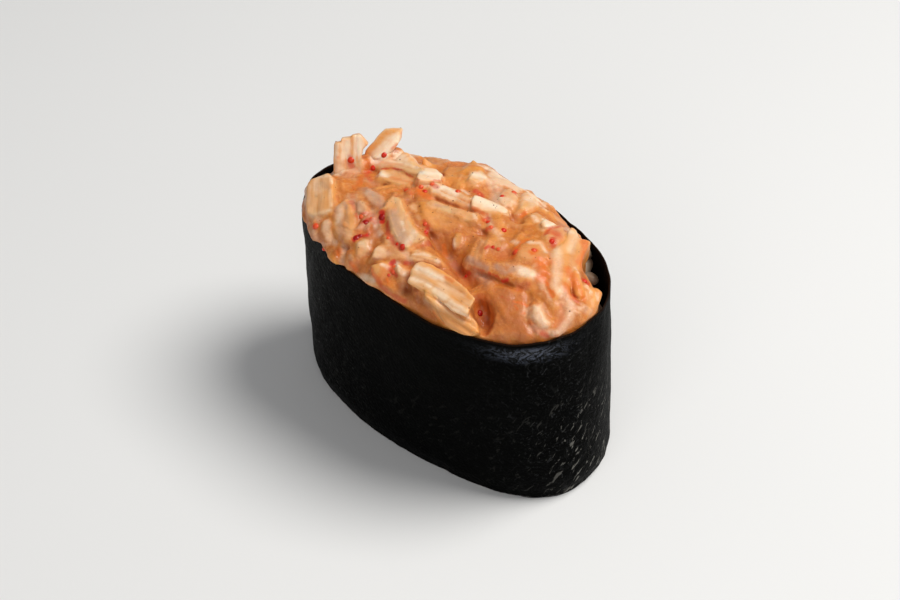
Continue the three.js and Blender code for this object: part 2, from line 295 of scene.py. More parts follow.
def piece(name, top, rot, outline, T, coat=0.3, tone=0.3, strands=0, ragged=0.25, edge=0.3, bend=0.0, red=0.0, flare=0.10, show=True, lump=0.0, warp=0.07, side=0.45, groove=0.24, grain=1.0):
    """a closed piece: outline is a polygon (u, v) in the plane through the point top spanned by rot[0] (along the fibres) and rot[1];
    it goes T mm down from there"""
    o = np.asarray(outline, float)
    mid = (o.min(0) + o.max(0)) / 2
    R = np.asarray(rot, float)
    c = np.asarray(top, float) + mid[0] * R[0] + mid[1] * R[1] - R[2] * T / 2
    ext = (o.max(0) - o.min(0)) / 2
    PIECES.append(dict(name=name, c=c, R=R, o=o - mid, U=float(ext[0]), V=float(ext[1]), T=T, coat=coat, tone=tone, strands=strands, ragged=ragged,
                       edge=edge, bend=bend, red=red, flare=flare, show=show, lump=lump, warp=warp, side=side, groove=groove, grain=grain, seed=len(PIECES)))


def surface_frame(c, along, roll=0.0):
    """axes of something lying on the mound at c, along the direction given"""
    e1 = along / np.linalg.norm(along)
    h = 0.6
    g = np.array([-(mound(c[0] + h, c[1]) - mound(c[0] - h, c[1])) / (2 * h), -(mound(c[0], c[1] + h) - mound(c[0], c[1] - h)) / (2 * h), 1.0])
    e2 = np.cross(g, e1); e2 /= np.linalg.norm(e2)
    e3 = np.cross(e1, e2)
    r = math.radians(roll)
    return np.array([e1, e2 * math.cos(r) + e3 * math.sin(r), -e2 * math.sin(r) + e3 * math.cos(r)])


def onto_plane(px, p0, R):
    """pixels of the photograph as (u, v) on the plane through p0"""
    out = []
    for x, y in px:
        d = ray(x, y)
        q = CAM + d * (((p0 - CAM) @ R[2]) / (d @ R[2])) - p0
        out.append((q @ R[0], q @ R[1]))
    return out


def plate(name, a, ha, b, hb, px, T, roll=0.0, **kw):
    """a piece lying on the mound, its upper face on the plane along pixels a to b, ha and hb mm above the mound; px is the face's outline"""
    pa, pb = cast(*a, dz=ha), cast(*b, dz=hb)
    c = (pa + pb) / 2
    R = surface_frame(c, pb - pa, roll)
    piece(name, c, R, onto_plane(px, c, R), T, **kw)


def standing(name, p0, R, px, T, **kw):
    """a piece that stands up out of the heap: its face is on the plane through p0 with the axes R"""
    p0 = np.asarray(p0, float)
    piece(name, p0, R, onto_plane(px, p0, R), T, **kw)


def hull_planes(p):
    """outward unit normals and offsets of the convex hull of a few points"""
    n_all, c_all = [], []
    m = p.mean(0)
    k = len(p)
    for a in range(k):
        for b in range(a + 1, k):
            for c in range(b + 1, k):
                n = np.cross(p[b] - p[a], p[c] - p[a])
                l = np.linalg.norm(n)
                if l < 1e-6:
                    continue
                n = n / l
                if n @ (p[a] - m) < 0:
                    n = -n
                off = n @ p[a]
                if (p @ n - off).max() > 1e-3:
                    continue
                if any(abs(off - o) < 0.03 and n @ q > 0.999 for q, o in zip(n_all, c_all)):
                    continue
                n_all.append(n); c_all.append(off)
    return np.array(n_all), np.array(c_all)


def block(name, p0, verts, along, coat=0.3, tone=0.3, side=0.8, edge=0.2, warp=0.06, red=0.0, show=True):
    """a cut block with flat faces. verts are (pixel x, pixel y, mm further from the camera than the point p0); the first three span its pale main
    face; along is the direction of the fibres in the picture"""
    z0 = (np.asarray(p0, float) - CAM) @ _f
    pts = np.array([CAM + ray(x, y) * ((z0 + d) / (ray(x, y) @ _f)) for x, y, d in verts])
    c = (pts.min(0) + pts.max(0)) / 2
    n, off = hull_planes(pts - c)
    main = np.cross(pts[1] - pts[0], pts[2] - pts[0]); main /= np.linalg.norm(main)
    if main @ (CAM - c) < 0:
        main = -main
    e1 = along[0] * _r - along[1] * _u
    e1 = e1 - main * (e1 @ main); e1 /= np.linalg.norm(e1)
    R = np.array([e1, np.cross(main, e1), main])
    q = (pts - c) @ R.T
    ext = np.abs(q).max(0)
    PIECES.append(dict(name=name, c=c, R=R, planes=(n @ R.T, off), U=float(ext[0]), V=float(ext[1]), T=float(2 * ext[2]), coat=coat, tone=tone, strands=0, ragged=0,
                       edge=edge, bend=0.0, red=red, flare=0, show=show, lump=0, warp=warp, side=side, seed=len(PIECES)))


def strand_of(pc, u, v):
    """which strand of a layered piece a point is on, how far from its middle (0) to the groove (1), and each strand's own lengthwise shift"""
    n = pc["strands"]
    s = pc["seed"]
    drift = 0.10 * noise(np.stack([u, u * 0 + 3.1 * s], -1), 3.0, 7) * pc["V"]
    ph = ((v + drift) / (2 * pc["V"]) + 0.5) * n
    i = np.clip(np.floor(ph), 0, n - 1).astype(int)
    rs = np.random.RandomState(900 + s)
    shift = rs.uniform(-1, 1, n + 2) * pc["ragged"]
    lift = rs.uniform(-1, 1, n + 2) * 0.16
    f = np.abs(ph - i - 0.5) * 2
    return i, np.clip(f, 0, 1), shift[i], lift[i]


def piece_sdf(pc, p):
    """signed distance in mm at points p of the oval's frame; also the local coordinates"""
    q = (p - pc["c"]) @ pc["R"].T
    u, v, w = q[..., 0], q[..., 1], q[..., 2]
    T, s = pc["T"], pc["seed"]
    if pc["bend"]:
        w = w - pc["bend"] * (u * u - pc["U"] ** 2 / 3)
    warp = noise(np.stack([u * 0.7, v, w], -1), 2.4, 40 + s % 7) * pc["warp"]
    fine = noise(np.stack([u * 0.35, v, w], -1), 0.55, 50 + s % 5) * 0.035 + noise(np.stack([u, v, w], -1), 1.0, 45 + s % 5) * 0.05
    fibres = noise(np.stack([u * 0.16, v, w * 0.6], -1), 0.62, 80 + s % 4)
    fine = fine - 0.06 * pc.get("grain", 1.0) * fibres
    if "planes" in pc:
        n, off = pc["planes"]
        d = np.full(u.shape, -50.0)
        r = pc["edge"]
        for (a, b, c), o in zip(n, off):
            d = smax(d, u * a + v * b + w * c - o, r)
        flat = np.sort(np.stack([u * a + v * b + w * c - o for (a, b, c), o in zip(n, off)], -1), -1)
        # below the main face counts as side: partly dressing, partly painted shade
        return d + r * 0.2 + warp + fine, q, np.clip(0.35 * np.exp(np.minimum(flat[..., -2], 0) / 0.3) + 0.5 * pc["side"] * (w < 0.6 * T / 2 - 0.5), 0, 1)
    top = T / 2 + 0.10 * noise(np.stack([u * 0.5, v], -1), 1.6, 60 + s % 9)
    uu = u
    mark = 0.0
    if pc["strands"]:
        i, f, shift, lift = strand_of(pc, u, v)
        uu = u + shift
        mark = 0.6 * f ** 3
        top = top + lift * pc["groove"] / 0.24 - pc["groove"] * (f ** 3.0)
    d2 = poly_distance(uu, v, pc["o"]) + pc["flare"] * w + warp
    if pc["lump"]:
        k = np.clip(-d2 / (0.45 * min(pc["U"], pc["V"])), 0, 1)
        top = top - pc["lump"] * (1 - np.sqrt(1 - (1 - k) ** 2))
    mark = np.maximum(mark, 0.6 * np.exp(np.minimum(d2, 0) / 0.35))
    # the lower sides count as edge: partly dressing, partly painted shade
    mark = np.maximum(mark, pc["side"] * 1.5 * smooth(T * 0.28, -T * 0.1, w))
    r = pc["edge"]
    du = d2 + r
    dw = np.where(w > 0, w - (top - r), -w - (T / 2 - r))
    out = np.sqrt(np.maximum(du, 0) ** 2 + np.maximum(dw, 0) ** 2) + np.minimum(np.maximum(du, dw), 0) - r
    return out + fine, q, np.clip(mark, 0, 1)


def smin(a, b, k):
    h = np.clip(0.5 + 0.5 * (b - a) / k, 0, 1)
    return b * (1 - h) + a * h - k * h * (1 - h)


def smax(a, b, k):
    return -smin(-a, -b, k)


def surface_nets(phi, lo, h):
    """quads of the zero level of phi, negative inside"""
    ins = phi < 0
    n = np.array(phi.shape)
    count = np.zeros(n - 1, np.int8)
    for a in (0, 1):
        for b in (0, 1):
            for c in (0, 1):
                count += ins[a:n[0] - 1 + a, b:n[1] - 1 + b, c:n[2] - 1 + c]
    act = (count > 0) & (count < 8)
    cells = np.argwhere(act)
    ids = np.full(act.shape, -1, np.int32)
    ids[act] = np.arange(len(cells))
    acc = np.zeros((len(cells), 3), np.float32)
    cnt = np.zeros(len(cells), np.float32)
    corners = [(a, b, c) for a in (0, 1) for b in (0, 1) for c in (0, 1)]
    for i, ca in enumerate(corners):
        for cb in corners[i + 1:]:
            if sum(abs(x - y) for x, y in zip(ca, cb)) != 1:
                continue
            va = phi[cells[:, 0] + ca[0], cells[:, 1] + ca[1], cells[:, 2] + ca[2]]
            vb = phi[cells[:, 0] + cb[0], cells[:, 1] + cb[1], cells[:, 2] + cb[2]]
            m = (va < 0) != (vb < 0)
            t = np.where(m, va / np.where(m, va - vb, 1), 0)[:, None]
            pt = np.array(ca, np.float32) + t * (np.array(cb, np.float32) - np.array(ca, np.float32))
            acc += np.where(m[:, None], pt, 0)
            cnt += m
    verts = (cells + acc / cnt[:, None]) * h + lo
    quads = []
    for ax in range(3):
        b, c = (ax + 1) % 3, (ax + 2) % 3
        sl0, sl1 = [slice(0, n[k]) for k in range(3)], [slice(0, n[k]) for k in range(3)]
        sl0[ax], sl1[ax] = slice(0, n[ax] - 1), slice(1, n[ax])
        f0, f1 = ins[tuple(sl0)], ins[tuple(sl1)]
        pts = np.argwhere(f0 != f1)
        ok = (pts[:, b] > 0) & (pts[:, c] > 0) & (pts[:, b] < n[b] - 1) & (pts[:, c] < n[c] - 1)
        pts = pts[ok]
        eb, ec = np.zeros(3, int), np.zeros(3, int)
        eb[b] = 1; ec[c] = 1
        look = lambda q: ids[q[:, 0], q[:, 1], q[:, 2]]
        q = np.stack([look(pts - eb - ec), look(pts - ec), look(pts), look(pts - eb)], 1)
        outward = f0[pts[:, 0], pts[:, 1], pts[:, 2]]
        q[~outward] = q[~outward][:, ::-1]
        quads.append(q)
    quads = np.concatenate(quads)
    return verts, quads[(quads >= 0).all(1)]


def sample(phi, lo, h, p):
    """trilinear"""
    q = (p - lo) / h
    n = np.array(phi.shape)
    q = np.clip(q, 0, n - 1.001)
    i = q.astype(int)
    f = q - i
    out = 0
    for a in (0, 1):
        for b in (0, 1):
            for c in (0, 1):
                wgt = (f[:, 0] if a else 1 - f[:, 0]) * (f[:, 1] if b else 1 - f[:, 1]) * (f[:, 2] if c else 1 - f[:, 2])
                out = out + phi[i[:, 0] + a, i[:, 1] + b, i[:, 2] + c] * wgt
    return out


def gradient(phi, lo, h, p, e=0.15):
    g = np.stack([sample(phi, lo, h, p + d) - sample(phi, lo, h, p - d) for d in (np.array([e, 0, 0]), np.array([0, e, 0]), np.array([0, 0, e]))], 1)
    return g / (np.linalg.norm(g, axis=1, keepdims=True) + 1e-9)


# =====================================================================
# mesh and material helpers
# =====================================================================
def new_mesh(name, verts, faces, attrs=None, vectors=None, stands_for=(), shade=True):
    """verts in mm in the oval's frame; faces an int array (n, 3 or 4) or a list"""
    me = bpy.data.meshes.new(name)
    v = (np.asarray(verts, float) - CENTRE) / 1000.0
    if isinstance(faces, np.ndarray):
        k = faces.shape[1]
        me.vertices.add(len(v))
        me.vertices.foreach_set("co", v.astype(np.float32).ravel())
        me.loops.add(faces.size)
        me.loops.foreach_set("vertex_index", faces.astype(np.int32).ravel())
        me.polygons.add(len(faces))
        me.polygons.foreach_set("loop_start", np.arange(0, faces.size, k, dtype=np.int32))
        me.polygons.foreach_set("loop_total", np.full(len(faces), k, np.int32))
        me.update(calc_edges=True)
        me.validate()
    else:
        me.from_pydata([tuple(x) for x in v], [], faces)
    if shade:
        me.polygons.foreach_set("use_smooth", np.ones(len(me.polygons), bool))
    for key, val in (attrs or {}).items():
        a = me.attributes.new(key, "FLOAT", "POINT")
        a.data.foreach_set("value", np.asarray(val, np.float32))
    for key, val in (vectors or {}).items():
        a = me.attributes.new(key, "FLOAT_VECTOR", "POINT")
        a.data.foreach_set("vector", np.asarray(val, np.float32).ravel())
    me.update()
    ob = bpy.data.objects.new(name, me)
    bpy.context.scene.collection.objects.link(ob)
    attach(ob, "root")
    if stands_for:
        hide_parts(*stands_for)
    return ob


class Nodes:
    """a small helper for node materials"""

    def __init__(self, name):
        self.mat = bpy.data.materials.new(name)
        self.mat.use_nodes = True
        self.t = self.mat.node_tree
        self.bsdf = self.t.nodes["Principled BSDF"]

    def add(self, kind, **kw):
        n = self.t.nodes.new(kind)
        for k, v in kw.items():
            setattr(n, k, v)
        return n

    def link(self, a, b):
        self.t.links.new(a, b)

    def put(self, sock, v):
        if isinstance(v, bpy.types.NodeSocket):
            self.link(v, sock)
        elif v is not None:
            sock.default_value = v

    def attr(self, name, vector=False):
        n = self.add("ShaderNodeAttribute", attribute_name=name)
        return n.outputs["Vector" if vector else "Fac"]

    def noise(self, scale, vec=None, detail=2.0, rough=0.5, dist=0.0):
        n = self.add("ShaderNodeTexNoise")
        n.inputs["Scale"].default_value = scale
        n.inputs["Detail"].default_value = detail
        n.inputs["Roughness"].default_value = rough
        n.inputs["Distortion"].default_value = dist
        if vec is None:
            vec = self.pos()
        self.link(vec, n.inputs["Vector"])
        return n.outputs["Fac"]

    def voronoi(self, scale, vec=None, feature="F1", out="Distance"):
        n = self.add("ShaderNodeTexVoronoi", feature=feature)
        n.inputs["Scale"].default_value = scale
        self.link(vec if vec is not None else self.pos(), n.inputs["Vector"])
        return n.outputs[out]

    def pos(self):
        """object coordinates in mm"""
        if not hasattr(self, "_pos"):
            c = self.add("ShaderNodeTexCoord")
            m = self.add("ShaderNodeVectorMath", operation="SCALE")
            self.link(c.outputs["Object"], m.inputs[0])
            m.inputs["Scale"].default_value = 1000.0
            self._pos = m.outputs[0]
        return self._pos

    def scaled(self, vec, s):
        m = self.add("ShaderNodeVectorMath", operation="MULTIPLY")
        self.link(vec, m.inputs[0])
        m.inputs[1].default_value = s
        return m.outputs[0]

    def math(self, op, a, b=None, clamp=False):
        m = self.add("ShaderNodeMath", operation=op, use_clamp=clamp)
        self.put(m.inputs[0], a)
        if b is not None:
            self.put(m.inputs[1], b)
        return m.outputs[0]

    def ramp(self, v, lo, hi, a=0.0, b=1.0, mode="SMOOTHSTEP"):
        m = self.add("ShaderNodeMapRange", interpolation_type=mode)
        self.put(m.inputs["Value"], v)
        m.inputs["From Min"].default_value = lo
        m.inputs["From Max"].default_value = hi
        m.inputs["To Min"].default_value = a
        m.inputs["To Max"].default_value = b
        return m.outputs["Result"]

    def mix(self, f, a, b, mode="MIX"):
        m = self.add("ShaderNodeMix", data_type="RGBA", blend_type=mode)
        self.put(m.inputs["Factor"], f)
        for s, v in ((m.inputs["A"], a), (m.inputs["B"], b)):
            pass
        ia = [s for s in m.inputs if s.name == "A" and s.type == "RGBA"][0]
        ib = [s for s in m.inputs if s.name == "B" and s.type == "RGBA"][0]
        self.put(ia, a if isinstance(a, bpy.types.NodeSocket) else (*a, 1.0)[:4])
        self.put(ib, b if isinstance(b, bpy.types.NodeSocket) else (*b, 1.0)[:4])
        return [s for s in m.outputs if s.type == "RGBA"][0]

    def bump(self, height, dist, strength=1.0, normal=None):
        b = self.add("ShaderNodeBump")
        b.inputs["Strength"].default_value = strength
        b.inputs["Distance"].default_value = dist
        self.link(height, b.inputs["Height"])
        if normal is not None:
            self.link(normal, b.inputs["Normal"])
        return b.outputs["Normal"]

    def set(self, **kw):
        names = {"color": "Base Color", "rough": "Roughness", "spec": "Specular IOR Level", "sss": "Subsurface Weight", "radius": "Subsurface Radius",
                 "sss_scale": "Subsurface Scale", "coat": "Coat Weight", "coat_rough": "Coat Roughness", "normal": "Normal", "ior": "IOR",
                 "transmission": "Transmission Weight", "coat_normal": "Coat Normal", "sheen": "Sheen Weight"}
        for k, v in kw.items():
            s = self.bsdf.inputs[names[k]]
            if k == "color" and not isinstance(v, bpy.types.NodeSocket):
                v = (*v, 1.0)[:4]
            self.put(s, v)
        return self.mat


def srgb(r, g, b):
    return tuple(((c / 255) / 12.92 if c / 255 <= 0.04045 else ((c / 255 + 0.055) / 1.055) ** 2.4) for c in (r, g, b))


# =====================================================================
# 1. the seaweed band
# =====================================================================
LAP_FROM, LAP_TO = math.radians(92), math.radians(116)


def make_nori():
    ns, nz = 366, 78
    ts = np.linspace(0, TAU, ns, endpoint=False)
    e = 0.0025
    keep = (np.abs(ts - LAP_FROM) > 0.012) & (np.abs(ts - LAP_TO) > 0.012)
    ts = np.sort(np.concatenate([ts[keep], [LAP_FROM - e, LAP_FROM + e, LAP_TO - e, LAP_TO + e]]))
    n = len(ts)
    # distance along the strip, for marks that are even along it
    ox, oy = outline(ts, 0.6)
    s = np.concatenate([[0], np.cumsum(np.hypot(np.diff(ox), np.diff(oy)))])
    fs = np.concatenate([[0, 0.006, 0.014], np.linspace(0.026, 0.974, nz - 6), [0.986, 0.994, 1.0]])
    T, F = np.meshgrid(ts, fs)
    S, _ = np.meshgrid(s, fs)
    # cut edges wander a little
    foot = 0.14 + 0.12 * np.sin(6 * T + 0.8) + 0.10 * noise(np.stack([S, S * 0], -1), 1.6, 3) + 0.06 * noise(np.stack([S, S * 0 + 9], -1), 0.6, 4)
    foot = np.maximum(foot, 0.0)
    top = (rim_height(T) + 0.09 * np.sin(11 * T) + 0.06 * np.sin(23 * T + 1) + 0.10 * noise(np.stack([S, S * 0 + 5], -1), 2.4, 5)
           + 0.07 * noise(np.stack([S, S * 0 + 3], -1), 0.7, 6) * (0.5 + bell(T, 240, 40)))
    Z = foot + (top - foot) * F
    SZ = np.stack([S, Z], -1)
    # creases and cockles of a damp sheet; inward is positive
    w = 0.10 * noise(SZ, 5.5, 8) + 0.05 * noise(SZ * [1.0, 0.7], 2.2, 9) + 0.022 * noise(SZ, 0.9, 10) + 0.012 * noise(SZ, 0.45, 11)
    # a folded line under the rim at the front right, and the lip above it flares
    line = top - 2.35 - 0.25 * np.sin(S * 0.35)
    w = w + 0.20 * np.exp(-((Z - line) / 0.22) ** 2) * bell(T, 318, 24)
    w = w - 0.16 * smooth(-0.4, 1.2, Z - line) * bell(T, 318, 26)
    # slanting creases at the left end and soft upright ones at the right end
    dia = (S - 0.55 * Z)
    w = w + 0.07 * bell(T, 225, 26) * (np.abs(np.sin(dia * 0.62 + 0.6 * noise(SZ, 6.0, 12))) ** 6 - 0.2)
    w = w + 0.10 * bell(T, 12, 30) * noise(np.stack([S, Z * 0.16], -1), 1.9, 13)
    # foot tucked in more at the lower right corner
    w = w + 0.5 * (1 - smooth(0, 0.16, F)) * (bell(T, 350, 30))
    # the outer end of the strip lifts off a little along its edge
    lift = smooth(LAP_FROM - 0.42, LAP_FROM, T) * (T <= LAP_TO)
    curl = 0.22 * smooth(LAP_TO - 0.07, LAP_TO, T) * (T <= LAP_TO) * (0.4 + 0.6 * np.abs(noise(np.stack([Z, Z * 0], -1), 7.0, 14)))
    out_d = -SHEET * lift - curl + w
    in_d = SHEET - SHEET * lift * (T < LAP_FROM) + w * (T < LAP_FROM) + w * (T >= LAP_FROM)
    in_d = np.where(T < LAP_FROM, SHEET - SHEET * lift, SHEET) + w
    # rounded cut edges
    edge = np.clip(np.minimum(F, 1 - F) / 0.014, 0, 1)
    shrink = SHEET * 0.35 * (1 - np.sqrt(np.clip(1 - (1 - edge) ** 2, 0, 1)))
    out_d, in_d = out_d + shrink, in_d - shrink
    xo, yo = wall(T, F, out_d)
    xi, yi = wall(T, F, in_d)
    outer = np.stack([xo, yo, Z], -1)
    inner = np.stack([xi, yi, Z], -1)[::-1]
    g = np.concatenate([outer, inner], 0)
    m = g.shape[0]
    k, i = np.meshgrid(np.arange(m), np.arange(n), indexing="ij")
    k2, j = (k + 1) % m, (i + 1) % n
    faces = np.stack([k * n + i, k * n + j, k2 * n + j, k2 * n + i], -1).reshape(-1, 4)
    sheet = np.concatenate([np.stack([S, Z, S * 0], -1), np.stack([S, Z, S * 0 + 9], -1)[::-1]], 0)
    tt = np.concatenate([T, T[::-1]], 0)
    slant = np.stack([0.62 * sheet[..., 0] + 0.78 * sheet[..., 1], 0.62 * sheet[..., 1] - 0.78 * sheet[..., 0], sheet[..., 2]], -1)
    inside = np.concatenate([T * 0, T * 0 + 1], 0)
    attrs = {
        "rim": np.concatenate([F, F[::-1]], 0).ravel(),
        "inner": inside.ravel(),
        "right_end": bell(tt, 350, 34).ravel(),
        # where the painted glints go, at the right end
        "glint_zone": bell(tt, 2, 24).ravel(),
        "gloss": (bell(tt, 329, 15)).ravel(),
        "left_end": bell(tt, 228, 30).ravel(),
    }
    ob = new_mesh("nori_band", g.reshape(-1, 3), faces, attrs, {"sheet": sheet.reshape(-1, 3), "slant": slant.reshape(-1, 3)}, ("nori",))
    m = Nodes("nori")
    sh = m.attr("sheet", True)
    big = m.noise(0.35, sh, 3, 0.6)
    mid = m.noise(1.6, sh, 4, 0.62)
    fine = m.noise(5.5, sh, 3, 0.6)
    pits = m.voronoi(1.9, sh)
    hairs = m.noise(1.0, m.scaled(m.attr("slant", True), (0.42, 1.25, 1.0)), 3, 0.6, 0.9)
    base = m.mix(m.ramp(mid, 0.35, 0.75), srgb(1, 1, 1), srgb(3, 4, 3))
    base = m.mix(m.math("MULTIPLY", m.ramp(big, 0.45, 0.7), 0.35), base, srgb(7, 8, 7))
    # painted highlights: pale glints in streaks, most of them low at the right end
    glint = m.ramp(hairs, 0.60, 0.65)
    where = m.math("ADD", m.math("MULTIPLY", m.attr("glint_zone"), 0.9), 0.03)
    low = m.ramp(m.attr("rim"), 0.75, 0.3)
    fl = m.math("MULTIPLY", m.math("MULTIPLY", glint, where), low)
    base = m.mix(m.math("MULTIPLY", fl, 0.9), base, srgb(128, 126, 120))
    base = m.mix(m.math("MULTIPLY", m.attr("inner"), 0.5), base, srgb(14, 10, 8))
    # painted highlight: a pale line along the foot where the sheet is glossy
    foot_glint = m.math("MULTIPLY", m.math("MULTIPLY", m.ramp(m.attr("rim"), 0.016, 0.006), m.attr("gloss")), m.ramp(mid, 0.45, 0.6))
    base = m.mix(m.math("MULTIPLY", foot_glint, 0.7), base, srgb(112, 110, 108))
    # painted reflection: bluish damp patches under the rim; painted sheen: grey wisps at the left end
    swirl = m.noise(1.0, m.scaled(sh, (0.32, 0.5, 1.0)), 5, 0.7, 5.0)
    band = m.math("MULTIPLY", m.ramp(m.attr("rim"), 0.86, 0.92), m.ramp(m.attr("rim"), 0.985, 0.95))
    damp_and_painted_light = m.math("MULTIPLY", m.math("MULTIPLY", band, m.attr("gloss")), m.ramp(swirl, 0.47, 0.58))
    base = m.mix(m.math("MULTIPLY", damp_and_painted_light, 0.75), base, srgb(90, 96, 112))
    base = m.mix(m.math("MULTIPLY", m.math("MULTIPLY", m.ramp(swirl, 0.55, 0.66), m.attr("left_end")), 0.7), base, srgb(50, 51, 50))
    # painted sheen: grey curls at the right end
    curls = m.noise(1.0, m.scaled(sh, (0.5, 0.45, 1.0)), 5, 0.75, 4.0)
    base = m.mix(m.math("MULTIPLY", m.math("MULTIPLY", m.ramp(curls, 0.56, 0.66), m.attr("right_end")), 0.7), base, srgb(56, 57, 58))
    # thin reddish brown where the cut edge lets light through
    edge_line = m.ramp(m.attr("rim"), 0.988, 1.0)
    base = m.mix(m.math("MULTIPLY", edge_line, 0.55), base, srgb(46, 28, 18))
    h = m.math("ADD", m.math("MULTIPLY", mid, 0.5), m.math("ADD", m.math("MULTIPLY", fine, 0.2), m.math("MULTIPLY", pits, 0.35)))
    rough = m.ramp(m.math("ADD", mid, m.math("MULTIPLY", m.attr("gloss"), -0.12)), 0.2, 0.8, 0.42, 0.66, "LINEAR")
    # damp patches and wisps that shine
    wisp = m.noise(1.0, m.scaled(sh, (0.55, 0.16, 1.0)), 4, 0.65, 3.0)
    shine = m.math("MULTIPLY", m.ramp(swirl, 0.55, 0.66), m.math("ADD", m.math("MULTIPLY", m.attr("left_end"), 0.12), 0.004))
    shine = m.math("ADD", shine, m.math("MULTIPLY", m.ramp(wisp, 0.56, 0.68), m.math("MULTIPLY", m.attr("right_end"), 0.10)))
    shine = m.math("ADD", shine, m.math("MULTIPLY", m.math("MULTIPLY", band, m.attr("gloss")), m.ramp(swirl, 0.42, 0.55, 0.10, 0.30)))
    mat = m.set(color=base, rough=rough, spec=0.02, coat=shine, coat_rough=0.32, normal=m.bump(h, 0.00022, 0.8))
    ob.data.materials.append(mat)
    return ob


# =====================================================================
# 2. the rice
# =====================================================================
def grain_relief(x, y):
    return 0.35 * np.sin(1.15 * x + 0.8) * np.cos(1.3 * y - 0.4) + 0.22 * np.sin(2.1 * x - 1.7 * y) + 0.18 * np.cos(1.9 * x + 2.3 * y + 1)


def rice_top(x, y):
    u, v = x / RIM[0], y / RIM[1]
    return RICE_TOP - 1.2 * (u * u + v * v) ** 1.2 + RICE_RISE * smooth(0.35, 0.9, u) + grain_relief(x, y)


def gap_rise(x, y):
    """the rice lies a little lower in the gap at the open corner"""
    return -0.6 * gauss(x, y, 16.0, 10.5, 5.0, 3.6, -0.7)


def icosphere(level):
    p = (1 + 5 ** 0.5) / 2
    v = [(-1, p, 0), (1, p, 0), (-1, -p, 0), (1, -p, 0), (0, -1, p), (0, 1, p), (0, -1, -p), (0, 1, -p), (p, 0, -1), (p, 0, 1), (-p, 0, -1), (-p, 0, 1)]
    f = [(0, 11, 5), (0, 5, 1), (0, 1, 7), (0, 7, 10), (0, 10, 11), (1, 5, 9), (5, 11, 4), (11, 10, 2), (10, 7, 6), (7, 1, 8),
         (3, 9, 4), (3, 4, 2), (3, 2, 6), (3, 6, 8), (3, 8, 9), (4, 9, 5), (2, 4, 11), (6, 2, 10), (8, 6, 7), (9, 8, 1)]
    v = [np.array(x, float) / np.linalg.norm(x) for x in v]
    for _ in range(level):
        mid, nf = {}, []
        def m(a, b):
            k = (min(a, b), max(a, b))
            if k not in mid:
                c = v[a] + v[b]
                v.append(c / np.linalg.norm(c)); mid[k] = len(v) - 1
            return mid[k]
        for a, b, c in f:
            ab, bc, ca = m(a, b), m(b, c), m(c, a)
            nf += [(a, ab, ca), (b, bc, ab), (c, ca, bc), (ab, bc, ca)]
        f = nf
    return np.array(v), np.array(f)


def rice_material():
    m = Nodes("cooked_rice")
    p = m.pos()
    var = m.noise(0.55, p, 2)
    base = m.mix(m.ramp(var, 0.3, 0.7), srgb(236, 228, 210), srgb(214, 200, 176))
    # darker grains: a random tone on most, painted shade on the core and on the grains seen in the gap
    base = m.mix(m.math("MULTIPLY", m.attr("damp_and_painted_light"), 0.6), base, srgb(164, 140, 116))
    return m.set(color=base, rough=0.34, spec=0.5, sss=0.45, radius=(1.0, 0.75, 0.5), sss_scale=0.0009,
                 normal=m.bump(m.noise(2.2, p, 3), 0.00012, 0.5))


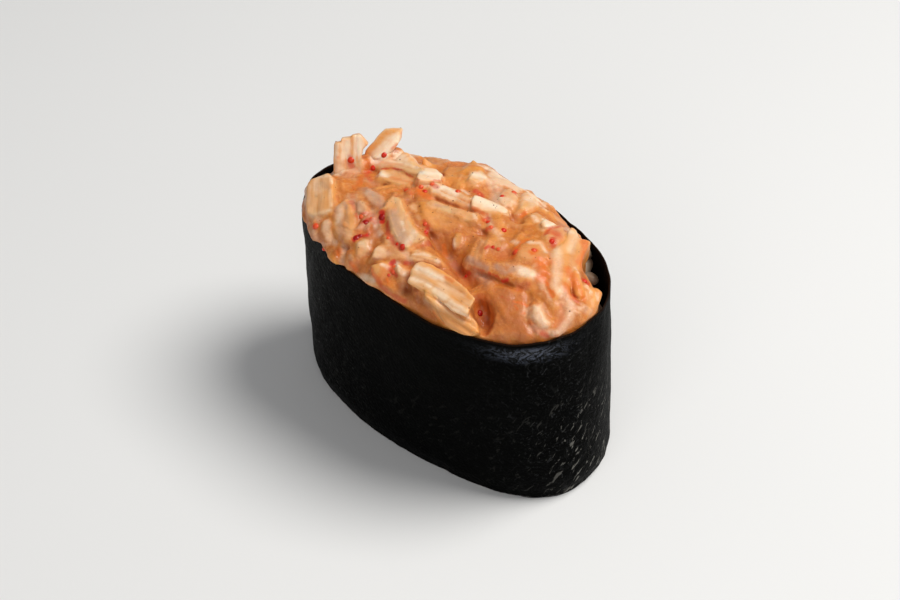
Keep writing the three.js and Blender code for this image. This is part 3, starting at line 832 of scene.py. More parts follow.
def make_rice():
    mat = rice_material()
    # core: rings from the flat foot to the uneven top
    n = 180
    ts = np.linspace(0, TAU, n, endpoint=False)
    rows = []
    for z, d in ((0.05, 3.0), (0.35, 1.6), (1.2, 1.15), (3, 1.05), (9, 1.0), (15, 1.0), (21, 1.0)):
        x, y = wall(ts, z / BAND_HEIGHT, SHEET + 0.05 + d * 0.6)
        rows.append(np.stack([x, y, np.full(n, z)], -1))
    for k in range(14, 0, -1):
        r = (k / 14) ** 0.8
        x, y = wall(ts, 0.8, SHEET + 0.7)
        x, y = x * r, y * r
        rows.append(np.stack([x, y, rice_top(x, y) + gap_rise(x, y) - 0.9], -1))
    v = np.concatenate(rows + [np.array([[0, 0, 0.05]]), np.array([[0, 0, rice_top(0, 0) - 0.9]])])
    m = len(rows)
    k, i = np.meshgrid(np.arange(m - 1), np.arange(n), indexing="ij")
    j = (i + 1) % n
    q = np.stack([k * n + i, k * n + j, (k + 1) * n + j, (k + 1) * n + i], -1).reshape(-1, 4)
    faces = [tuple(x) for x in q.tolist()]
    faces += [(m * n, (a + 1) % n, a) for a in range(n)]
    faces += [(m * n + 1, (m - 1) * n + a, (m - 1) * n + (a + 1) % n) for a in range(n)]
    # painted shade: the core is coloured darker than the loose grains
    core = new_mesh("rice_core", v, faces, {"damp_and_painted_light": np.full(len(v), 0.8)}, stands_for=("rice",))
    core.data.materials.append(mat)
    # whole grains: on the top where it shows, the nearest placed where the gap shows them, round the shoulder and over the foot
    rs = np.random.RandomState(11)
    sv, sf = icosphere(2)
    vs, fs, damp_and_painted_light = [], [], []

    def grain(c, yaw, pitch, roll, flat=None, size=1.0, painted_gap_shade=None):
        L, W, T = 5.4 * size * rs.uniform(0.88, 1.08), 2.5 * size * rs.uniform(0.92, 1.08), 2.0 * size * rs.uniform(0.9, 1.1)
        p = sv.copy()
        # plump, one end blunter, a slight waist and bend
        x = p[:, 0]
        w = np.sqrt(np.clip(1 - np.abs(x) ** 2.6, 0, 1)) / np.maximum(np.sqrt(np.clip(1 - x * x, 1e-6, 1)), 1e-3)
        p[:, 1] *= w * (1 + 0.10 * x) * (1 - 0.05 * np.exp(-(x / 0.3) ** 2))
        p[:, 2] *= w * (1 + 0.06 * x)
        p = p * [L / 2, W / 2, T / 2]
        p[:, 1] += 0.22 * (p[:, 0] / (L / 2)) ** 2 * W / 2 * rs.choice([-1, 1])
        p += 0.05 * noise(p + c, 1.2, 21)[:, None] * sv
        R = basis(yaw, pitch, roll)
        q = p @ R + c
        q = keep_inside(q, 0.05, 0.3)
        if flat is not None:
            q[:, 2] = np.where(q[:, 2] < flat, flat + (q[:, 2] - flat) * 0.02, q[:, 2])
        fs.append(sf + sum(len(a) for a in vs))
        vs.append(q)
        damp_and_painted_light.append(np.full(len(q), rs.uniform(0, 0.5) if painted_gap_shade is None else painted_gap_shade))

    def spread(count, test, place):
        got = []
        tries = 0
        while len(got) < count and tries < 20000:
            tries += 1
            x, y = rs.uniform(-27, 27), rs.uniform(-17, 17)
            if not test(x, y):
                continue
            if any((x - a) ** 2 + (y - b) ** 2 < 2.1 ** 2 for a, b in got):
                continue
            got.append((x, y)); place(x, y)

    def within(x, y, margin):
        t, rho = inverse(x, y)
        ox, oy = outline(t, 1.0)
        return rho * math.hypot(float(ox), float(oy)) < math.hypot(float(ox), float(oy)) - margin

    # the open end and a little way under the heap
    def in_gap(x, y):
        px, py = project(np.array([[x, y, rice_top(x, y)]]))[0]
        return px > 577 and 228 < py < 322

    spread(60, lambda x, y: within(x, y, 2.1) and x > 8 and y > -2 and not within(x, y, 9.5) and not in_gap(x, y),
           lambda x, y: grain(np.array([x, y, rice_top(x, y) + float(gap_rise(x, y)) - 0.1 + rs.uniform(-0.3, 0.5)]), rs.uniform(0, 360), rs.uniform(-25, 25), rs.uniform(0, 180)))
    # painted shade: the grains seen in the gap are coloured darker
    for px, py, z, yaw, pitch in ((587, 253, 29.6, 130, -35), (584, 268, 28.8, 115, 10), (583, 277, 28.0, 20, 5)):
        c = CAM + ray(px, py) * ((z - CAM[2]) / ray(px, py)[2])
        grain(c, yaw, pitch, 20, size=0.9, painted_gap_shade=1.6)
    # over the foot, pressed flat
    spread(190, lambda x, y: within(x, y, 3.4),
           lambda x, y: grain(np.array([x, y, 0.95 + rs.uniform(-0.15, 0.1)]), rs.uniform(0, 360), rs.uniform(-6, 6), rs.uniform(-20, 20), flat=0.03))
    g = new_mesh("rice_grains", np.concatenate(vs), np.concatenate(fs), {"damp_and_painted_light": np.concatenate(damp_and_painted_light)}, stands_for=("rice",))
    g.data.materials.append(mat)


# =====================================================================
# 3. the salad
# =====================================================================
def lay_out_pieces():
    # --- the left end: layered slabs against the band, the strands run up the picture
    plate("left_ridged", (322, 178), 2.0, (319, 216), 1.5,
          [(305.5, 184), (309, 179), (320, 174.5), (328, 172), (333, 176), (333, 186), (333, 198), (332, 210), (322, 214), (312, 216), (305.5, 213), (304.5, 203), (304.5, 191)],
          3.0, coat=0.06, tone=0.55, strands=2, ragged=0.2, edge=0.3, warp=0.16, groove=0.05, grain=0.2)
    plate("left_ridged2", (346, 203), 1.2, (343, 237), 0.9,
          [(337, 208), (344, 200), (350, 203), (351, 212), (355, 213), (355, 228), (352, 239), (344, 241), (336, 237), (333, 230), (334, 216)],
          2.6, 6, coat=0.30, tone=0.45, strands=2, ragged=0.5, edge=0.35, warp=0.16, groove=0.14, grain=0.4)
    plate("between", (338, 182), 0.3, (338, 202), 0.1, [(333, 184), (341, 179), (347, 184), (346, 198), (337, 204), (332, 198)], 2.4, coat=0.75, tone=0.6, lump=0.5)
    plate("ring_block", (361, 200), 0.9, (363, 216), 0.8, [(355, 202), (361, 199), (367, 201), (369, 211), (364, 217), (356, 213)], 2.2, coat=0.55, tone=0.45, lump=0.5)
    plate("flat_grey", (366, 192), 0.6, (384, 202), 0.5, [(362, 194), (367, 187), (376, 191), (386, 198), (385, 206), (375, 208), (366, 201)], 2.0, coat=0.66, tone=0.1, lump=0.5)
    plate("left_low", (322, 249), 1.1, (336, 253), 0.9, [(320, 254), (322, 246), (328, 241), (334, 244), (337, 250), (336, 258), (332, 264), (325, 261)], 2.8, coat=0.46, tone=0.75, lump=0.8)
    plate("left_low2", (350, 252), 0.6, (350, 268), 0.5, [(345, 262), (348, 253), (353, 252), (355, 260), (353, 266), (347, 269)], 2.0, coat=0.50, tone=0.25)
    plate("left_low3", (330, 219), 0.7, (328, 238), 0.6, [(322, 222), (330, 217), (335, 224), (332, 238), (325, 241), (320, 232)], 2.2, coat=0.5, tone=0.3, lump=0.3)
    plate("left_low4", (314, 224), 0.5, (318, 240), 0.4, [(309, 222), (316, 219), (320, 228), (320, 240), (315, 244), (310, 235)], 2.2, coat=0.7, tone=0.3, lump=0.4)
    plate("wedge_rim", (354, 280), 0.7, (374, 279), 0.8, [(352.5, 280), (360, 272), (370, 272), (378, 277), (375, 284), (364, 284)], 1.8, coat=0.22, tone=0.35)
    plate("orange_tail", (385, 284), 0.5, (402, 297), 0.4, [(380, 284), (388, 282), (397, 288), (406, 298), (402, 301), (392, 296), (384, 290)], 2.0, coat=0.6, tone=0.5, lump=0.3)
    plate("stick_c", (409, 253), 0.8, (439, 261), 0.7, [(407, 256), (411, 251), (420, 249.5), (431, 253), (440, 258), (440, 263), (432, 264), (422, 261), (413, 261)], 2.0, coat=0.36, tone=0.35, strands=3, ragged=0.4)
    # --- the middle
    plate("slab", (394, 200), 1.2, (415, 243), 1.3,
          [(386, 201), (391, 196), (398, 195.5), (402, 200), (403, 206), (407, 214), (412, 223), (418, 231), (425.5, 237), (420, 241), (413, 244), (407, 249), (402, 247), (396, 241), (391, 233), (388, 222), (387, 212)],
          2.4, 3, coat=0.36, tone=0.42, edge=0.3, strands=0, warp=0.14, grain=0.5)
    plate("bit_a", (409, 207), 0.6, (420, 208), 0.5, [(407, 206), (413, 203), (420, 205), (421, 209), (416, 212), (409, 211)], 1.8, coat=0.45, tone=0.35)
    plate("bit_b", (416, 217), 0.4, (423, 219), 0.4, [(414, 218), (418, 214), (424, 216), (424, 221), (418, 223)], 1.6, coat=0.55, tone=0.4)
    plate("yellow_face", (421, 212), 0.9, (468, 222), 0.8, [(419, 201), (432, 200), (446, 204), (462, 210), (476, 215), (478, 222), (464, 226), (448, 229), (435, 229), (424, 222), (420, 212)],
          3.0, 8, coat=0.62, tone=0.95, edge=0.45)
    plate("stick_a", (435, 188), 0.9, (469, 204), 0.8, [(430, 187), (434, 183), (446, 184.5), (457, 189), (466, 194), (474, 199), (474, 207), (462, 206), (450, 202), (440, 198), (431, 195)],
          2.4, 6, coat=0.46, tone=0.25, strands=2, ragged=0.2, warp=0.2)
    plate("stick_b", (425, 204), 1.2, (477, 219), 1.2, [(423, 202), (434, 200.5), (446, 204), (460, 208), (472, 212), (479, 215), (477, 222), (468, 221), (455, 216), (440, 211), (426, 208)],
          2.2, 4, coat=0.46, tone=0.4, warp=0.14)
    plate("round_yellow", (457, 234), 0.8, (458, 249), 0.6, [(451, 245), (451.5, 237), (456, 232), (462, 232), (465.5, 236), (464, 244), (460, 250), (454, 251)], 2.4, coat=0.52, tone=0.6, lump=0.8)
    plate("white_block", (473, 201), 1.5, (508, 211), 1.1, [(471, 200), (474, 193.5), (481, 195), (490, 199), (500, 203), (509, 209), (509, 213), (502, 214), (490, 213), (478, 210), (471, 206)],
          3.0, 4, coat=0.10, tone=0.05, edge=0.32, side=0.7, warp=0.12)
    plate("long_white", (467, 262), 0.5, (533, 275), 1.0, [(465, 262), (468, 257), (474, 255.5), (485, 259.5), (491, 262), (505, 264), (518, 264.5), (528, 266.5), (535, 272), (534, 276), (527, 280.5), (519, 280), (508, 278), (498, 274), (489, 271), (478, 268.5), (467, 266.5)],
          2.0, 3, coat=0.42, tone=0.2, edge=0.35, warp=0.14)
    plate("roe_lump", (518, 248), 0.9, (549, 252), 0.9, [(514, 249), (519, 245), (527, 240), (534, 238.5), (541, 239), (546, 246), (550, 253), (550, 259), (540, 260), (526, 260), (516, 256)],
          2.6, coat=0.56, tone=0.75, lump=0.5)
    plate("lump_d", (486, 240), 0.3, (505, 246), 0.3, [(482, 240), (492, 234), (506, 238), (510, 246), (500, 252), (486, 249)], 2.4, coat=0.75, tone=0.4, lump=0.8, show=False)
    # --- the big chunk at the front and what leans on it
    plate("big_chunk", (414, 273), 2.3, (470, 304), 2.8,
          [(417, 264.5), (421, 262.5), (431, 266), (443, 274), (453, 281), (463, 288.5), (472, 298.5), (469, 305), (465, 312), (458, 309), (448, 303.5), (437, 297), (428, 291), (419, 288), (408, 281), (411, 274)],
          3.0, -5, coat=0.14, tone=0.42, strands=3, ragged=0.12, edge=0.3, warp=0.34, groove=0.1, flare=-0.3)
    plate("yellow_chunk", (434, 300), 2.6, (477, 331), 2.3, [(424, 289), (436, 296), (448, 303), (460, 310), (470, 316), (477, 324), (481, 334), (473, 336.5), (461, 334), (450, 327), (440, 317), (432, 306), (424, 297)],
          3.8, -12, coat=0.14, tone=0.6, strands=3, ragged=0.35, edge=0.3, warp=0.42, groove=0.3, flare=0.04)
    # --- the right end: one broad stick, white on its left half and yellow on the right, that widens to a corner over the gap
    plate("right_block", (570, 234), 1.7, (559, 292), 1.0,
          [(551, 251), (556, 244.5), (563, 241), (567, 231), (571, 225), (578, 228), (581, 236), (592, 239.5), (589, 247), (584, 258), (579, 268), (574, 275), (570, 284), (566, 292), (560, 296), (555, 297.5), (551, 290), (550, 275)],
          3.4, 4, coat=0.28, tone=0.62, strands=2, ragged=0.0, edge=0.4, side=0.9, warp=0.16, groove=0.18)
    plate("right_lobe", (577, 271), 1.0, (581, 297), 0.8, [(572, 273), (575, 268.5), (580, 270), (582, 278), (585, 288), (586, 297), (580, 300), (575, 295), (573, 286), (571, 279)],
          2.6, coat=0.48, tone=0.9, lump=0.8, edge=0.5)
    plate("right_edge", (590, 288), 0.9, (591, 312), 0.6, [(585, 290), (588, 284.5), (594, 285.5), (599, 289), (604, 293), (601, 300), (598, 306), (593, 312), (587, 317), (584, 305)],
          3.0, coat=0.34, tone=0.8, strands=3, ragged=0.4, edge=0.35, warp=0.16)
    plate("pink_lump", (548, 233), 1.2, (564, 233), 1.2, [(544, 235), (549, 228.5), (556, 225.5), (562, 224), (565, 228), (567, 234), (565, 241), (558, 245), (550, 243), (545, 240)],
          2.8, coat=0.62, tone=0.4, red=0.6, lump=0.4)
    plate("low_lump", (539, 308), 1.0, (544, 328), 0.8, [(531, 311), (533, 304.5), (540, 304), (544, 310), (547, 318), (554, 321), (552, 327), (546, 330.5), (539, 330), (534, 324), (531, 318)],
          3.0, coat=0.68, tone=0.3, lump=0.5, edge=0.5)
    # --- the back ridge
    plate("long_pink", (367, 160), 1.9, (422, 172), 1.8, [(365, 160), (370, 155), (384, 156.5), (400, 160), (412, 163), (424, 167), (424, 175), (412, 173), (398, 169.5), (382, 167), (369, 165)],
          2.4, coat=0.42, tone=0.25, red=0.35, edge=0.5)
    plate("long_pink_end", (419, 172), 1.9, (441, 176), 1.6, [(416, 176), (419, 168), (426, 166.5), (437, 168), (443.5, 174.5), (441, 180.5), (430, 180.5), (419, 179)], 2.4, coat=0.12, tone=0.0)
    plate("under_pink", (379, 175), 1.1, (412, 181), 0.8, [(377.5, 177), (379.5, 169), (390, 170), (404, 174), (417, 181), (410, 185), (397, 184), (384, 180)], 2.4, coat=0.30, tone=0.45)
    plate("small_white", (472, 176), 1.3, (485, 177), 1.2, [(468, 178), (472, 171), (481, 170), (488, 175), (485, 181.5), (476, 182)], 2.0, coat=0.2, tone=0.05)
    plate("peak", (464, 168), 1.2, (480, 170), 1.3, [(461, 170), (468, 163), (473, 159.5), (477, 163), (484, 167), (480, 171), (470, 173)], 2.4, coat=0.48, tone=0.8, edge=0.4)
    plate("red_lump", (500, 195), 1.2, (516, 199), 1.1, [(497, 196), (503, 188), (512, 186.5), (518, 191), (519, 199), (513, 206.5), (504, 205.5), (498, 201)], 2.8, coat=0.60, tone=0.2, red=0.4, lump=0.6)
    plate("back_lump", (522, 197), 1.1, (539, 204), 1.0, [(519, 200), (522, 191), (532, 190.5), (542, 200), (539, 207.5), (529, 208.5), (520, 206)], 2.6, coat=0.42, tone=0.3, lump=0.6)
    plate("back_side", (490, 177), 1.0, (520, 189), 0.9, [(486, 175), (491, 167), (501, 175), (514, 183), (526, 189), (520, 194), (508, 187), (496, 184)], 2.4, coat=0.40, tone=0.1, lump=0.4)
    plate("cream_lump", (529, 215), 0.9, (545, 219), 0.8, [(527, 214), (535, 211.5), (546, 217), (545, 223), (537, 224), (529, 220)], 2.2, coat=0.50, tone=0.5, lump=0.5)
    plate("white_tri", (542, 221), 1.4, (555, 225), 1.3, [(540, 222), (545, 216), (550, 220), (558, 224), (551, 228), (543, 227)], 1.8, coat=0.14, tone=0.0)
    plate("back_a", (448, 172), 0.8, (462, 176), 0.7, [(444, 173), (449, 167), (462, 168), (465, 175), (458, 180), (447, 179)], 2.2, coat=0.6, tone=0.8, show=False)
    # --- standing up at the back of the left end
    R = basis(133, 60, 0)
    standing("upright", (-20.6, -2.6, 37.4), R, [(333.5, 182), (333.5, 160), (334, 143.5), (340.5, 142), (341, 138.5), (350.5, 137.5), (352, 135.5), (359.5, 135), (363.5, 138.5), (368, 144.5), (363, 149.5), (361.5, 156), (362, 182)],
             2.6, coat=0.12, tone=0.05, strands=3, ragged=0.0, edge=0.05, flare=0.0, groove=0.12, warp=0.05, side=0.12, grain=0.4)
    block("blade", (-17.6, 1.6, 38.0), [(374, 158, 0.2), (387, 146, 0.0), (400, 132, 0.3), (397.5, 146, 0.0), (385, 160, 0.2), (363, 160, 1.6), (366, 149, 1.6), (375, 140, 1.7), (384, 128, 1.6),
                                        (403.5, 127.5, 1.8), (402, 139, 1.2), (376, 163, 3.4)], (20, -18), coat=0.02, tone=0.0, side=0.55, edge=0.12)
    block("tip", cast(429, 168, 0.5), [(421, 169, 0), (423, 155, 0.3), (435, 170, 0), (430, 160, 0.4), (440, 169, 0.4), (424, 166, 2.2), (434, 171, 1.4), (428, 174, -0.6)], (10, 6), coat=0.15, tone=0.7, side=0.8)
    block("peak_tip", cast(473, 168, 0.5), [(463, 170, 0), (473, 159, 0.4), (483, 169, 0), (478, 163, 0.6), (470, 174, -0.6), (481, 173, 0.2), (472, 166, 2.4)], (10, 4), coat=0.2, tone=0.75, side=0.8)
    block("mid_block_l", cast(362, 247, 0.9), [(357, 241, 0), (367, 238, 0.2), (369, 250, -0.2), (357, 253, -0.2), (370, 242, 0.8), (371, 255, 0.8), (356, 246, 1.2), (358, 262, 1.2), (368, 264, 1.4), (365, 246, 3)],
          (3, 10), coat=0.44, tone=0.45)
    block("mid_block_r", cast(381, 252, 1.1), [(374, 247, 0.2), (392, 247, 0.5), (389, 257, -0.2), (372, 257, -0.3), (378, 246, 0.8), (371, 261, 0.6), (379, 264, 0.6), (388, 262, 0.8), (393, 251, 1.4), (381, 254, 3)],
          (16, 2), coat=0.40, tone=0.35)
    block("orange_block", cast(380, 271, 1.3), [(378, 262.5, 0.2), (385, 262.5, 0.2), (392, 271, 0), (379, 268, -0.2), (370, 266, 0.5), (372, 276, 0.2), (383, 286, 0.3), (391, 281, 0.8), (394, 275, 1.0), (380, 272, 3)],
          (12, 12), coat=0.42, tone=0.5, side=0.9)
    block("white_pyr", cast(401, 270, 1.1), [(397, 262, 0), (403, 267, 0), (398, 272, -0.2), (410, 274, 0.2), (402, 279, 0.2), (394, 270, 0.8), (401, 270, 2.6)], (10, 6), coat=0.24, tone=0.1)
    R = basis(43, 20, 0)
    standing("back_knob", (-14.9, 3.9, 37.9), R, [(384, 167), (386, 159), (390, 153), (396, 150), (403, 148.5), (409, 150), (414, 154), (417, 160), (417, 166), (411, 170), (400, 170)], 4.2, coat=0.12, tone=0.2, lump=0.9, edge=0.3)

    # --- everywhere else: shreds of the same sizes, some bare, some under the dressing
    rs = np.random.RandomState(5)
    calm = [(458, 268, 24), (525, 305, 26), (560, 318, 16), (422, 305, 16), (515, 225, 16), (500, 318, 16), (440, 240, 12), (485, 313, 22), (590, 262, 24), (600, 290, 14), (345, 172, 10), (410, 200, 9), (480, 240, 12), (440, 320, 12), (375, 230, 10), (326, 170, 12), (308, 184, 13), (304, 200, 12), (568, 222, 16), (552, 210, 10), (438, 240, 15), (400, 190, 10), (425, 165, 9), (365, 190, 12), (460, 215, 14), (520, 262, 14), (400, 262, 12), (350, 262, 10), (378, 212, 10)]
    done = [p["c"] for p in PIECES]
    spans = [max(p["U"], p["V"]) for p in PIECES]
    k = 0
    for it in range(2600):
        if k >= 120:
            break
        rs = np.random.RandomState(700 + it)
        t, r = rs.uniform(0, TAU), math.sqrt(rs.uniform(0.0, 0.9))
        ox, oy = outline(t, 1.0)
        x, y = float(ox) * r, float(oy) * r
        if math.hypot(float(ox), float(oy)) * (1 - r) < 2.2 + float(pull(t)):
            continue
        z = float(mound(x, y))
        px, py = project(np.array([[x, y, z]]))[0]
        h = 0.3
        g = np.array([-(mound(x + h, y) - mound(x - h, y)) / (2 * h), -(mound(x, y + h) - mound(x, y - h)) / (2 * h), 1.0])
        g /= np.linalg.norm(g)
        to_cam = (CAM - np.array([x, y, z])); to_cam /= np.linalg.norm(to_cam)
        seen = g @ to_cam > -0.12
        if seen and any((px - a) ** 2 + (py - b) ** 2 < c * c for a, b, c in calm):
            continue
        near = min(np.linalg.norm(np.array([x, y, z]) - c) - s * 0.55 for c, s in zip(done, spans))
        if near < (1.35 if not seen else 1.25):
            continue
        a = rs.uniform(0, TAU)
        e1 = np.array([math.cos(a), math.sin(a), 0]); e1 -= g * (e1 @ g); e1 /= np.linalg.norm(e1)
        tilt = rs.uniform(-0.30, 0.30)
        e1 = e1 * math.cos(tilt) + g * math.sin(tilt)
        e2 = np.cross(g, e1); e2 /= np.linalg.norm(e2)
        L, W, T = rs.uniform(3.2, 8.0 if not seen else 5.0), rs.uniform(1.7, 3.6 if not seen else 2.8), rs.uniform(1.9, 3.0)
        up = rs.uniform(0.1, 0.9) if not seen else rs.uniform(0.0, 0.5)
        j = lambda: rs.uniform(-0.22, 0.22)
        o = [(-L / 2 + j() * 2, -W / 2 + j()), (-L / 6, -W / 2 + j()), (L / 4, -W / 2 + j()), (L / 2 + j() * 2, -W / 2 + j()), (L / 2 + j() * 2, W / 2 + j()),
             (L / 5, W / 2 + j()), (-L / 5, W / 2 + j()), (-L / 2 + j() * 2, W / 2 + j())]
        coat = rs.uniform(0.15, 0.75) if not seen else rs.uniform(0.45, 0.85)
        piece("more_%d" % k, np.array([x, y, z]) + g * up, np.array([e1, e2, np.cross(e1, e2)]), o, T, coat=coat, tone=rs.uniform(0, 0.9),
              strands=int(rs.choice([0, 0, 2, 3])), lump=float(rs.choice([0, 0, 0.6])), edge=rs.uniform(0.28, 0.5), red=float(rs.choice([0, 0, 0, 0.5])), show=coat < 0.5, warp=0.15)
        done.append(np.array([x, y, z])); spans.append(max(L, W) / 2); k += 1
